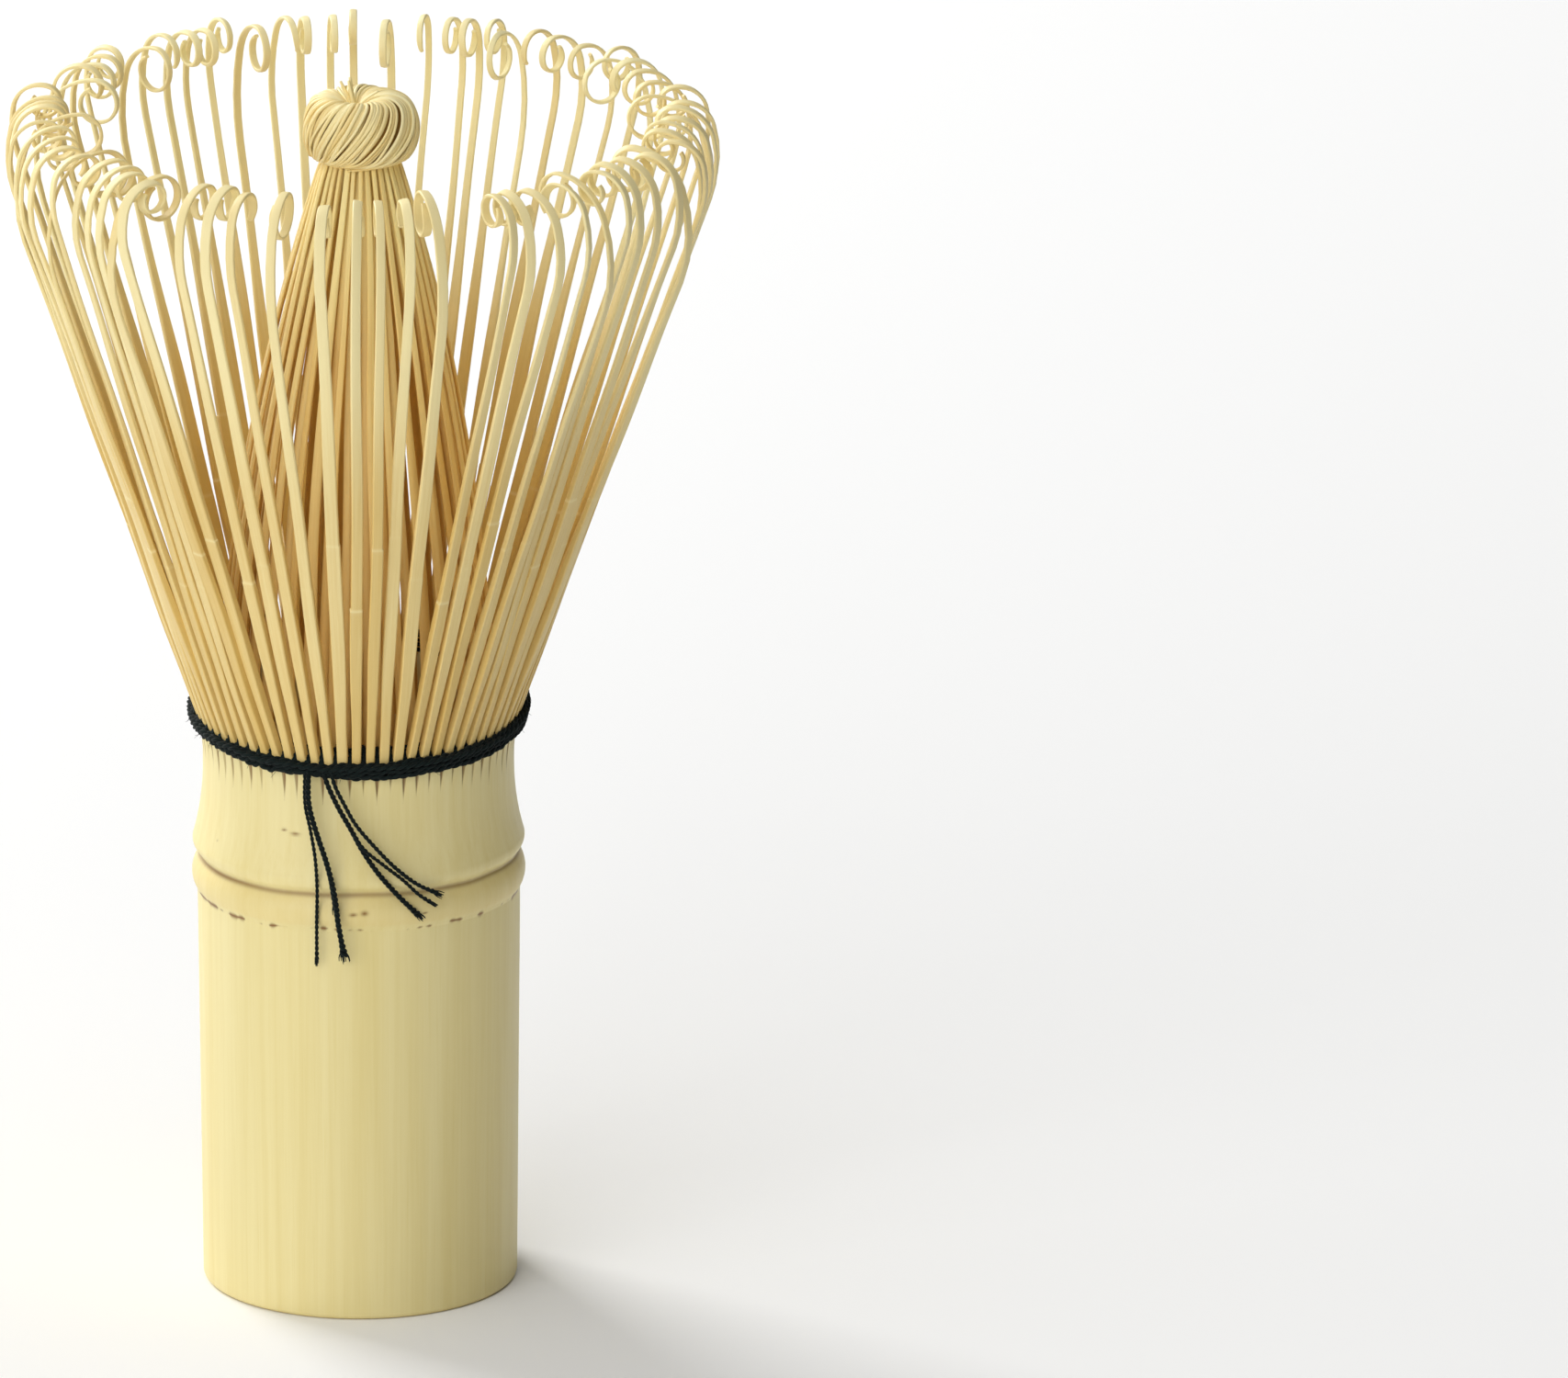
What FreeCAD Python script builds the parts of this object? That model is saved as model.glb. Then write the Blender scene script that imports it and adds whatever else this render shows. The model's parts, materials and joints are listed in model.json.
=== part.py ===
import FreeCAD, Part
import math
import os

import Sketcher
from FreeCAD import Placement, Rotation, Vector

# Bamboo tea whisk: one culm whose upper end is split into outer tines, which flare out and end in
# curls, and inner tines, which gather into a twisted knot. A dark thread binds the roots.
# Millimetres. +Z is up, the origin is the centre of the bottom rim, and -Y is the front, where the
# thread is tied off.

DIMENSIONS = [
    # handle: a tube of culm, closed inside at its node
    ("base_radius", 13.7), ("base_bevel", 0.4), ("hollow_radius", 10.9),
    ("tube_top_radius", 14.05), ("tube_top_height", 35.6),
    ("sheath_scar_radius", 14.2), ("sheath_scar_height", 35.9),
    ("node_low_curve", 2.5), ("node_low_end_radius", 14.15), ("node_low_end_height", 38.5),
    ("groove_radius", 13.9), ("groove_height", 38.9),
    ("node_high_radius", 14.1), ("node_high_height", 39.3), ("node_high_curve", 1.1),
    ("collar_foot_radius", 14.36), ("collar_foot_height", 40.6), ("collar_curve", 24.1),
    ("septum_low_height", 36.9), ("septum_high_height", 39.4), ("septum_dish", 0.6),
    # collar and the split zone above it
    ("collar_radius", 13.55), ("collar_height", 46.8),
    ("slit_height", 47.4), ("flare_curve", 15.0), ("flare_angle", 18.7),
    ("comb_top_height", 57.0), ("slit_width", 0.36),
    ("root_ledge_height", 47.7), ("root_gap", 0.5),
    # outer tines
    ("tine_count", 72), ("tine_width", 0.85), ("root_thickness", 0.72),
    ("tip_thickness", 0.3), ("rim_height", 106.6), ("rim_dip", 0.45), ("rim_reach", 30.0),
    ("slow_bunching", 0.75), ("quick_bunching", 0.95), ("pair_turn", 0.5),
    ("flare_wander", 0.6), ("wide_curl_flare", 1.0), ("flare_lean", 0.6), ("flare_spread", 0.7),
    ("front_parting", 8.0), ("front_left_edge", 3.0), ("front_right_edge", 13.0),
    ("parting_width", 5.0), ("parting_fade", 95.0),
    # inner tines, in two layers that share the ring of roots
    ("inner_count", 36), ("inner_thickness", 0.35), ("inner_curve", 191.0),
    ("inner_root_radius", 12.05), ("inner_neck_radius", 3.75), ("inner_neck_height", 100.6),
    ("layer_root_step", 0.6), ("layer_neck_step", 0.85),
    ("outer_layer_width", 0.54), ("inner_layer_width", 0.38),
    # knot that closes the inner tines
    ("knot_radius", 5.2), ("knot_middle_height", 104.0), ("knot_top_height", 107.6),
    ("knot_rim_radius", 2.0), ("knot_dimple_height", 106.7), ("knot_dimple_curve", 1.6),
    ("knot_dimple_radius", 0.7),
    ("knot_core_radius", 2.2), ("knot_core_height", 98.7), ("knot_foot_height", 100.7),
    ("knot_low_curve", 3.6), ("knot_high_curve", 3.9),
    # thread
    ("band_height", 51.6), ("band_drop", 1.3), ("band_height_radius", 14.3), ("hinge_rise", 1.15),
    ("yarn_diameter", 0.34), ("yarn_pitch", 0.37), ("yarn_clearance", 0.15),
    ("weave_radius", 12.75), ("tail_diameter", 0.3), ("tail_standoff", 15.0),
]

# Curl shapes: radius and turn of the shoulder, the hook and the two turns of the curl.
CURLS = {
    "round": [(9.5, 34.0), (3.5, 78.0), (1.45, 180.0), (1.15, 130.0)],
    "tight": [(8.0, 30.0), (2.7, 92.0), (1.3, 180.0), (1.05, 120.0)],
    "wide": [(12.0, 40.0), (5.0, 68.0), (1.9, 190.0), (1.5, 150.0)],
    "open": [(9.5, 36.0), (2.9, 80.0), (1.6, 100.0), (1.3, 30.0)],
}
# Degrees that single front tines lean besides, which opens the two gaps beside the front ones.
FRONT_LEANS = {
    44: -1.0, 45: -1.5, 46: -2.2, 47: -3.0, 48: -3.0, 49: -4.0, 50: 1.8,
    53: 2.5, 54: 2.3, 55: 0.6, 56: 0.6, 57: -0.5, 58: -2.5,
}
for tine_number, front_lean in FRONT_LEANS.items():
    DIMENSIONS.append((f"front_lean_{tine_number}", front_lean))
for curl_name, turns in CURLS.items():
    for number, (radius, turn) in enumerate(turns, start=1):
        DIMENSIONS.append((f"{curl_name}_radius_{number}", radius))
        DIMENSIONS.append((f"{curl_name}_turn_{number}", turn))

doc = FreeCAD.newDocument("tea_whisk")
sheet = doc.addObject("Spreadsheet::Sheet", "params")
for row, (alias, number) in enumerate(DIMENSIONS, start=1):
    sheet.set(f"A{row}", alias)
    sheet.set(f"B{row}", str(number))
    sheet.setAlias(f"B{row}", alias)
doc.recompute()


def value(expression):
    """A size worked out from the sheet, as a number."""
    return float(sheet.evalExpression(expression))


def size(alias):
    return value(f"params.{alias}")


# ---------------------------------------------------------------- sketch and feature helpers

def origin_feature(body, role):
    return next(f for f in body.Origin.OriginFeatures if f.Role == role)


def new_body(label):
    body = doc.addObject("PartDesign::Body", label)
    body.Label = label
    return body


def new_sketch(body, name, plane):
    sketch = body.newObject("Sketcher::SketchObject", name)
    sketch.AttachmentSupport = (origin_feature(body, plane), [""])
    sketch.MapMode = "FlatFace"
    return sketch


def constrain(sketch, kind, *where, to=None):
    """Adds a constraint; a size is bound to its expression."""
    if to is None:
        return sketch.addConstraint(Sketcher.Constraint(kind, *where))
    start = math.radians(value(to)) if kind == "Angle" else value(to)
    index = sketch.addConstraint(Sketcher.Constraint(kind, *where, start))
    bound = f"({to}) * 1 deg" if kind == "Angle" else to
    sketch.setExpression(f"Constraints[{index}]", bound)
    return index


def outline(sketch, corners, curves=None):
    """A closed outline through corners, each a pair of expressions.

    curves gives a radius for the edge that leaves a corner; the edge bulges to the right of its
    direction, or to the left where the radius is marked "left".
    """
    curves = curves or {}
    points = [Vector(value(x), value(y), 0) for x, y in corners]
    edges = []
    for i, start in enumerate(points):
        end = points[(i + 1) % len(points)]
        if i not in curves:
            edges.append((sketch.addGeometry(Part.LineSegment(start, end), False), 1, 2))
            continue
        radius, side = curves[i]
        half = (end - start).Length / 2
        sagitta = value(radius) - math.sqrt(value(radius) ** 2 - half**2)
        along = (end - start).normalize()
        right = Vector(along.y, -along.x, 0) * sagitta
        middle = (start + end) * 0.5
        if side == "right":
            arc = Part.Arc(start, middle + right, end)
            edges.append((sketch.addGeometry(arc, False), 1, 2))
        else:
            arc = Part.Arc(end, middle - right, start)
            edges.append((sketch.addGeometry(arc, False), 2, 1))
    for i, (index, first, last) in enumerate(edges):
        following, its_first, _ = edges[(i + 1) % len(edges)]
        constrain(sketch, "Coincident", index, last, following, its_first)
        constrain(sketch, "DistanceX", -1, 1, index, first, to=corners[i][0])
        constrain(sketch, "DistanceY", -1, 1, index, first, to=corners[i][1])
        if i in curves:
            constrain(sketch, "Radius", index, to=curves[i][0])


def ribbon_outline(sketch, length, curl):
    """The side view of an outer tine: a tapering stem along +y, then arcs that turn inwards."""
    line, arc_of = Part.LineSegment, Part.ArcOfCircle
    root, tip = value("params.root_thickness") / 2, value("params.tip_thickness") / 2
    top = value(length)
    up = Vector(0, 0, 1)
    root_cap = sketch.addGeometry(line(Vector(-root, 0, 0), Vector(root, 0, 0)), False)
    outer = sketch.addGeometry(line(Vector(root, 0, 0), Vector(tip, top, 0)), False)
    inner = sketch.addGeometry(line(Vector(-root, 0, 0), Vector(-tip, top, 0)), False)
    cap = sketch.addGeometry(line(Vector(-tip, top, 0), Vector(tip, top, 0)), True)
    constrain(sketch, "Symmetric", root_cap, 1, root_cap, 2, -1, 1)
    constrain(sketch, "Horizontal", root_cap)
    constrain(sketch, "Distance", root_cap, 1, root_cap, 2, to="params.root_thickness")
    constrain(sketch, "Coincident", root_cap, 2, outer, 1)
    constrain(sketch, "Coincident", root_cap, 1, inner, 1)
    constrain(sketch, "Coincident", outer, 2, cap, 2)
    constrain(sketch, "Coincident", inner, 2, cap, 1)
    constrain(sketch, "Symmetric", cap, 1, cap, 2, -2)
    constrain(sketch, "Distance", cap, 1, cap, 2, to="params.tip_thickness")
    constrain(sketch, "DistanceY", -1, 1, cap, 1, to=length)

    heading = 0.0
    middle = Vector(0, top, 0)
    outer_end, inner_end = (outer, 2), (inner, 2)
    for number in range(1, len(CURLS[curl]) + 1):
        radius, turn = f"params.{curl}_radius_{number}", f"params.{curl}_turn_{number}"
        across = Vector(math.cos(heading), math.sin(heading), 0)
        centre = middle - across * value(radius)
        stop = heading + math.radians(value(turn))
        across = Vector(math.cos(stop), math.sin(stop), 0)
        middle = centre + across * value(radius)
        circles = [Part.Circle(centre, up, value(radius) + side * tip) for side in (1, -1)]
        outer_arc, inner_arc = (
            sketch.addGeometry(arc_of(circle, heading, stop), False) for circle in circles
        )
        last = number == len(CURLS[curl])
        next_cap = sketch.addGeometry(line(middle - across * tip, middle + across * tip), not last)
        constrain(sketch, "Coincident", *outer_end, outer_arc, 1)
        constrain(sketch, "Coincident", *inner_end, inner_arc, 1)
        constrain(sketch, "Coincident", outer_arc, 2, next_cap, 2)
        constrain(sketch, "Coincident", inner_arc, 2, next_cap, 1)
        constrain(sketch, "Coincident", inner_arc, 3, outer_arc, 3)
        constrain(sketch, "PointOnObject", inner_arc, 3, cap)
        constrain(sketch, "PointOnObject", inner_arc, 3, next_cap)
        constrain(sketch, "Radius", inner_arc, to=f"{radius} - params.tip_thickness / 2")
        constrain(sketch, "Angle", inner_arc, to=turn)
        outer_end, inner_end = (outer_arc, 2), (inner_arc, 2)
        cap, heading = next_cap, stop


def pad_both_ways(body, name, sketch, width):
    pad = body.newObject("PartDesign::Pad", name)
    pad.Profile = sketch
    pad.SideType = "Symmetric"
    pad.setExpression("Length", width)
    return pad


def turn_round_z(body, name, kind, sketch):
    feature = body.newObject(kind, name)
    feature.Profile = sketch
    feature.ReferenceAxis = (origin_feature(body, "Z_Axis"), [""])
    feature.Angle = 360
    return feature


def pattern_round_z(body, name, features, occurrences):
    pattern = body.newObject("PartDesign::PolarPattern", name)
    pattern.Originals = features
    pattern.Axis = (origin_feature(body, "Z_Axis"), [""])
    pattern.Angle = 360
    pattern.setExpression("Occurrences", occurrences)
    body.Tip = pattern
    return pattern


def check_cut(body, before, what):
    if not body.Shape.Volume < before:
        raise RuntimeError(f"{what} cut nothing")


# ---------------------------------------------------------------- shape of the split zone

FLARE_RISE = "params.flare_curve * sin(params.flare_angle * 1 deg)"
FLARE_OUT = "params.flare_curve * (1 - cos(params.flare_angle * 1 deg))"


def culm_radius(height):
    """Outer radius of the split zone: an arc from the collar, then the straight flare."""
    rise = min(height - size("slit_height"), value(FLARE_RISE))
    radius = size("collar_radius") + size("flare_curve")
    radius -= math.sqrt(size("flare_curve") ** 2 - rise**2)
    straight = height - size("slit_height") - rise
    return radius + straight * math.tan(math.radians(size("flare_angle")))


def band_height_at(azimuth):
    """The thread lies on a slant: lower at the front, higher at the back."""
    return size("band_height") + size("band_drop") * math.sin(azimuth)


# ---------------------------------------------------------------- handle

def make_handle():
    body = new_body("handle_culm")
    outer_face = [
        ("params.hollow_radius", "0"),
        ("params.base_radius - params.base_bevel", "0"),
        ("params.base_radius", "params.base_bevel"),
        ("params.tube_top_radius", "params.tube_top_height"),
        ("params.sheath_scar_radius", "params.sheath_scar_height"),
        ("params.node_low_end_radius", "params.node_low_end_height"),
        ("params.groove_radius", "params.groove_height"),
        ("params.node_high_radius", "params.node_high_height"),
        ("params.collar_foot_radius", "params.collar_foot_height"),
        ("params.collar_radius", "params.collar_height"),
        ("params.collar_radius", "params.slit_height"),
        (f"params.collar_radius + {FLARE_OUT}", f"params.slit_height + {FLARE_RISE}"),
        (f"params.collar_radius + {FLARE_OUT} + (params.comb_top_height - params.slit_height"
         f" - {FLARE_RISE}) * tan(params.flare_angle * 1 deg)", "params.comb_top_height"),
    ]
    inner_arc_radius = "(params.flare_curve + params.root_thickness)"
    inner_bend = (
        f"params.collar_radius + params.flare_curve - {inner_arc_radius}"
        " * cos(params.flare_angle * 1 deg)",
        f"params.slit_height + {inner_arc_radius} * sin(params.flare_angle * 1 deg)",
    )
    inner_face = [
        (f"{inner_bend[0]} + (params.comb_top_height - ({inner_bend[1]}))"
         " * tan(params.flare_angle * 1 deg)", "params.comb_top_height"),
        inner_bend,
        ("params.collar_radius - params.root_thickness", "params.slit_height"),
        ("params.hollow_radius", "params.root_ledge_height"),
        ("params.hollow_radius", "params.septum_high_height + params.septum_dish"),
        ("0", "params.septum_high_height"),
        ("0", "params.septum_low_height"),
        ("params.hollow_radius", "params.septum_low_height - params.septum_dish"),
    ]
    curves = {
        4: ("params.node_low_curve", "right"),
        7: ("params.node_high_curve", "right"),
        8: ("params.collar_curve", "left"),
        10: ("params.flare_curve", "left"),
        14: (inner_arc_radius, "right"),
    }
    profile = new_sketch(body, "culm_profile", "XZ_Plane")
    outline(profile, outer_face + inner_face, curves)
    turn_round_z(body, "culm", "PartDesign::Revolution", profile)
    doc.recompute()

    before = body.Shape.Volume
    slope = "params.band_drop / params.band_height_radius"
    reach = "1.5 * params.base_radius"
    side = new_sketch(body, "root_plane_side", "YZ_Plane")
    low = "params.band_height + params.hinge_rise - params.root_gap / 2"
    outline(side, [
        (f"-{reach}", f"{low} - {reach} * ({slope})"),
        (reach, f"{low} + {reach} * ({slope})"),
        (reach, "params.comb_top_height + params.hinge_rise"),
        (f"-{reach}", "params.comb_top_height + params.hinge_rise"),
    ])
    top_cut = body.newObject("PartDesign::Pocket", "root_plane")
    top_cut.Profile = side
    top_cut.SideType = "Symmetric"
    top_cut.setExpression("Length", f"2 * {reach}")
    doc.recompute()
    check_cut(body, before, "the slanted root plane")

    before = body.Shape.Volume
    slot = new_sketch(body, "slit", "XY_Plane")
    slot.AttachmentOffset = Placement(
        Vector(0, 0, size("slit_height")), Rotation(Vector(0, 0, 1), 180 / size("tine_count"))
    )
    half = "params.slit_width / 2"
    far = "params.collar_radius + 5 * params.root_thickness"
    near = "params.collar_radius - 2 * params.root_thickness"
    outline(slot, [(near, f"-{half}"), (far, f"-{half}"), (far, half), (near, half)])
    slit = body.newObject("PartDesign::Pocket", "slit_cut")
    slit.Profile = slot
    slit.Reversed = True
    slit.setExpression("Length", "params.comb_top_height - params.slit_height")
    doc.recompute()
    pattern_round_z(body, "slits", [slit], "params.tine_count")
    doc.recompute()
    check_cut(body, before, "the slits between the tine roots")
    return body


# ---------------------------------------------------------------- outer tines

def front_parting(azimuth):
    """How far, in degrees, the tines beside the few front ones lean away from them.

    The lean sets in quickly at either side and fades out towards the back.
    """
    from_front = (math.degrees(azimuth) + 90.0 + 180.0) % 360.0 - 180.0
    edge = size("front_right_edge" if from_front > 0 else "front_left_edge")
    past = min(max((abs(from_front) - edge) / size("parting_width"), 0.0), 1.0)
    fade = max(1.0 - max(abs(from_front) - edge, 0.0) / size("parting_fade"), 0.0)
    lean = size("front_parting") * past * past * (3.0 - 2.0 * past) * fade
    return math.copysign(lean, from_front)


def tine_layout():
    """Each tine's root azimuth, plane, flare and curl shape.

    The roots are evenly spaced. Each tine stands in a vertical plane of its own, turned a little
    so that the rims of neighbours bunch and part. Of each four tines, the last two make a pair,
    which leans together and bends as one.
    """
    count = int(size("tine_count"))
    names = list(CURLS)
    tines = []
    for k in range(count):
        azimuth = 2 * math.pi * k / count
        bunching = size("quick_bunching") * math.sin(13 * azimuth)
        bunching += size("slow_bunching") * math.sin(7 * azimuth + 1.0)
        pairing = {2: size("pair_turn"), 3: -size("pair_turn")}.get(k % 4, 0.0)
        own_lean = size(f"front_lean_{k + 1}") if k + 1 in FRONT_LEANS else 0.0
        lean = math.radians(bunching + pairing + own_lean + front_parting(azimuth))
        reach, foot = size("rim_reach"), culm_radius(band_height_at(azimuth))
        across = reach * math.sin(lean)
        plane = azimuth + math.atan2(across, reach * math.cos(lean) - foot)
        curl = names[(k * 7 + k // 5) % len(names)]
        flare = size("flare_angle") + size("flare_wander") * math.sin(11 * azimuth + 0.4)
        flare += size("flare_lean") * math.cos(azimuth)
        flare += size("flare_spread") * math.cos(azimuth) ** 2
        flare += size("wide_curl_flare") if curl == "wide" else 0.0
        tines.append({"number": k + 1, "azimuth": azimuth, "plane": plane, "flare": flare,
                      "curl": curl})
    return tines


def tine_pivot(tine):
    """The point that a tine bends about: the middle of its root, just above the thread."""
    height = band_height_at(tine["azimuth"]) + size("hinge_rise")
    radius = culm_radius(height) - size("root_thickness") / 2
    azimuth = tine["azimuth"]
    return Vector(radius * math.cos(azimuth), radius * math.sin(azimuth), height)


def make_outer_tine(tine, label):
    body = new_body(label)
    pivot = tine_pivot(tine)
    towards_back = f"sin({math.degrees(tine['azimuth'])} deg)"
    foot = f"params.band_height + params.band_drop * {towards_back} + params.hinge_rise"
    rim = f"params.rim_height - params.rim_dip * (1 - {towards_back})"
    curl, over = tine["curl"], "params.flare_angle * 1 deg"
    first_turn = f"(params.{curl}_turn_1 - params.flare_angle) * 1 deg"
    shoulder = (f"{rim} - params.{curl}_radius_1 * (sin({over}) + sin({first_turn}))"
                f" - params.{curl}_radius_2 * (1 - sin({first_turn}))")
    length = f"({shoulder} - ({foot})) / cos({over})"
    side = new_sketch(body, "tine_side", "XZ_Plane")
    ribbon_outline(side, length, tine["curl"])
    pad_both_ways(body, "tine_blade", side, "params.tine_width")
    turned = Rotation(Vector(0, 0, 1), math.degrees(tine["plane"]))
    body.Placement = Placement(pivot, turned.multiply(Rotation(Vector(0, 1, 0), tine["flare"])))
    return body


def make_outer_tines():
    """One node for each tine, or for each pair."""
    nodes = []
    tines = tine_layout()
    position = 0
    while position < len(tines):
        group = tines[position:position + (2 if position % 4 == 2 else 1)]
        position += len(group)
        numbers = "_".join(f"{tine['number']:02d}" for tine in group)
        if len(group) == 1:
            node = make_outer_tine(group[0], f"outer_tine_{numbers}")
        else:
            blades = [make_outer_tine(t, f"blade_{t['number']:02d}") for t in group]
            node = doc.addObject("Part::Compound", f"outer_tines_{numbers}")
            node.Label = f"outer_tines_{numbers}"
            node.Links = blades
        nodes.append((node, group))
    return nodes


# ---------------------------------------------------------------- inner tines and their knot

def inner_side(body, name, root_step, neck_step):
    """Side view of an inner tine: a thin strip that bulges outwards on its way to the neck."""
    root = f"(params.inner_root_radius - {root_step})"
    neck = f"(params.inner_neck_radius - {neck_step})"
    sketch = new_sketch(body, name, "XZ_Plane")
    outline(sketch, [
        (root, "params.root_ledge_height"),
        (neck, "params.inner_neck_height"),
        (f"{neck} - params.inner_thickness", "params.inner_neck_height"),
        (f"{root} - params.inner_thickness", "params.root_ledge_height"),
    ], {0: ("params.inner_curve", "right"), 2: ("params.inner_curve", "left")})
    return sketch


def make_inner_tines():
    body = new_body("inner_tines")
    body.AllowCompound = True
    outer_side = inner_side(body, "outer_layer_side", "0", "0")
    outer_strip = pad_both_ways(body, "outer_layer_strip", outer_side, "params.outer_layer_width")
    doc.recompute()
    inner = inner_side(body, "inner_layer_side", "params.layer_root_step",
                       "params.layer_neck_step")
    half_pitch = Rotation(Vector(0, 1, 0), 180 / size("inner_count"))
    inner.AttachmentOffset = Placement(Vector(0, 0, 0), half_pitch)
    inner_strip = pad_both_ways(body, "inner_layer_strip", inner, "params.inner_layer_width")
    doc.recompute()
    pattern_round_z(body, "ring_of_strips", [outer_strip, inner_strip], "params.inner_count")
    return body


def make_knot():
    body = new_body("tip_knot")
    profile = new_sketch(body, "knot_profile", "XZ_Plane")
    outline(profile, [
        ("0", "params.knot_core_height"),
        ("params.knot_core_radius", "params.knot_core_height"),
        ("params.knot_core_radius", "params.knot_foot_height"),
        ("params.knot_radius", "params.knot_middle_height"),
        ("params.knot_rim_radius", "params.knot_top_height"),
        ("params.knot_dimple_radius", "params.knot_dimple_height"),
        ("0", "params.knot_dimple_height"),
    ], {
        2: ("params.knot_low_curve", "right"),
        3: ("params.knot_high_curve", "right"),
        4: ("params.knot_dimple_curve", "right"),
    })
    turn_round_z(body, "knot", "PartDesign::Revolution", profile)
    return body


# ---------------------------------------------------------------- thread

def thread_round(name, rise, extra, inner_radius=None):
    """One round of thread on the slant, resting on the culm or on a ring of its own."""
    front = size("band_height") - size("band_drop") + rise
    back = size("band_height") + size("band_drop") + rise
    ring = doc.addObject("Part::Torus", name)
    ring.setExpression("Radius2", "params.yarn_diameter / 2")
    if inner_radius is None:
        standoff = size("yarn_diameter") / 2 + size("yarn_clearance") + extra
        radius = (culm_radius(front) + culm_radius(back)) / 2 + standoff
        shift = (culm_radius(back) - culm_radius(front)) / 2
    else:
        radius, shift = inner_radius, 0.0
    ring.Radius1 = radius
    tilt = math.degrees(math.atan2(size("band_drop"), size("band_height_radius")))
    ring.Placement = Placement(
        Vector(0, shift, size("band_height") + rise), Rotation(Vector(1, 0, 0), tilt)
    )
    return ring


def make_binding():
    """Seven rounds of thread around the roots: four on the culm and three in their grooves."""
    pitch = size("yarn_pitch")
    rounds = [thread_round(f"round_{i + 1}", (i - 1.5) * pitch, 0.0) for i in range(4)]
    rounds += [
        thread_round(f"top_round_{i + 1}", (i - 1) * pitch, 0.9 * pitch) for i in range(3)
    ]
    binding = doc.addObject("Part::Compound", "binding_thread")
    binding.Label = "binding_thread"
    binding.Links = rounds
    return binding


def make_weave():
    """Three rounds between the outer and the inner tines, which hold them apart."""
    rise = size("hinge_rise")
    rounds = [
        thread_round(f"weave_round_{i + 1}", rise + (i - 1) * size("yarn_pitch"), 0.0,
                     size("weave_radius"))
        for i in range(3)
    ]
    weave = doc.addObject("Part::Compound", "weave_thread")
    weave.Label = "weave_thread"
    weave.Links = rounds
    return weave


# Each loose end: points (x, z) from the band down, and how far it stands off the one beneath.
TAIL_ROUTES = {
    "left_thin": (0.0, [(-4.5, 49.3), (-4.5, 47.2), (-4.0, 45.0), (-3.6, 42.4), (-3.45, 39.6),
                        (-3.5, 36.6), (-3.5, 33.3)]),
    "left_thick": (0.45, [(-4.15, 49.3), (-4.1, 47.3), (-3.5, 45.0), (-2.6, 42.2),
                          (-1.95, 39.4), (-1.6, 36.6), (-1.1, 33.8)]),
    "left_short": (0.0, [(-2.9, 43.4), (-2.35, 41.6), (-2.3, 39.6)]),
    "right_a": (0.0, [(-2.6, 49.2), (-1.6, 47.3), (-0.5, 45.3), (0.6, 43.2), (1.9, 41.2),
                      (3.6, 39.1), (5.4, 37.1)]),
    "right_b": (0.9, [(-1.8, 49.3), (-1.1, 47.6), (0.1, 45.7), (1.7, 43.8), (3.4, 41.9),
                      (5.2, 40.2), (7.0, 39.1)]),
    "right_c": (0.45, [(0.9, 43.4), (2.5, 42.0), (4.0, 40.6), (5.3, 39.2), (6.5, 38.2)]),
}


def tail_path(points):
    """Straight runs joined by tangent arcs, each as large as its two runs allow."""
    edges, start = [], points[0]
    for before, corner, after in zip(points, points[1:], points[2:]):
        run_in, run_out = corner - before, after - corner
        turn = run_in.getAngle(run_out)
        trim = 0.45 * min(run_in.Length, run_out.Length)
        radius = trim / math.tan(turn / 2)
        first = corner - run_in.normalize() * trim
        last = corner + run_out.normalize() * trim
        inward = (first + last) * 0.5 - corner
        depth = radius / math.cos(turn / 2) - radius
        middle = corner + inward.normalize() * depth
        edges.append(Part.LineSegment(start, first).toShape())
        edges.append(Part.Arc(first, middle, last).toShape())
        start = last
    edges.append(Part.LineSegment(start, points[-1]).toShape())
    return Part.Wire(edges)


def make_tails():
    radius = size("tail_diameter") / 2
    solids = []
    for standoff, route in TAIL_ROUTES.values():
        reach = size("tail_standoff") + standoff
        points = [Vector(x, -math.sqrt(reach**2 - x**2), z) for x, z in route]
        path = tail_path(points)
        along = points[1] - points[0]
        section = Part.Wire([Part.makeCircle(radius, points[0], along)])
        strand = path.makePipeShell([section], True, False)
        expected = math.pi * radius**2 * path.Length
        if abs(strand.Volume - expected) > 0.02 * expected:
            raise RuntimeError("a thread end has the wrong volume")
        solids.append(strand)
    tails = doc.addObject("Part::Feature", "thread_tails")
    tails.Label = "thread_tails"
    tails.Shape = Part.makeCompound(solids)
    return tails


# ---------------------------------------------------------------- build, check and write

handle = make_handle()
tine_nodes = make_outer_tines()
nodes = [handle, make_inner_tines(), make_knot(), make_binding(), make_weave(), make_tails()]
nodes += [node for node, _ in tine_nodes]
doc.recompute()

for item in doc.Objects:
    if {"Invalid", "Error"} & set(item.State):
        raise RuntimeError(f"{item.Label} failed: {item.State}")
for node in nodes:
    if node.Shape.isNull() or not node.Shape.isValid():
        raise RuntimeError(f"{node.Label} has no valid shape")

os.makedirs("parts", exist_ok=True)
for node in nodes:
    node.Shape.exportStep(f"parts/{node.Label}.step")
print(len(nodes), "nodes,", sum(len(node.Shape.Solids) for node in nodes), "solids")
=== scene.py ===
import json
import math

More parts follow.
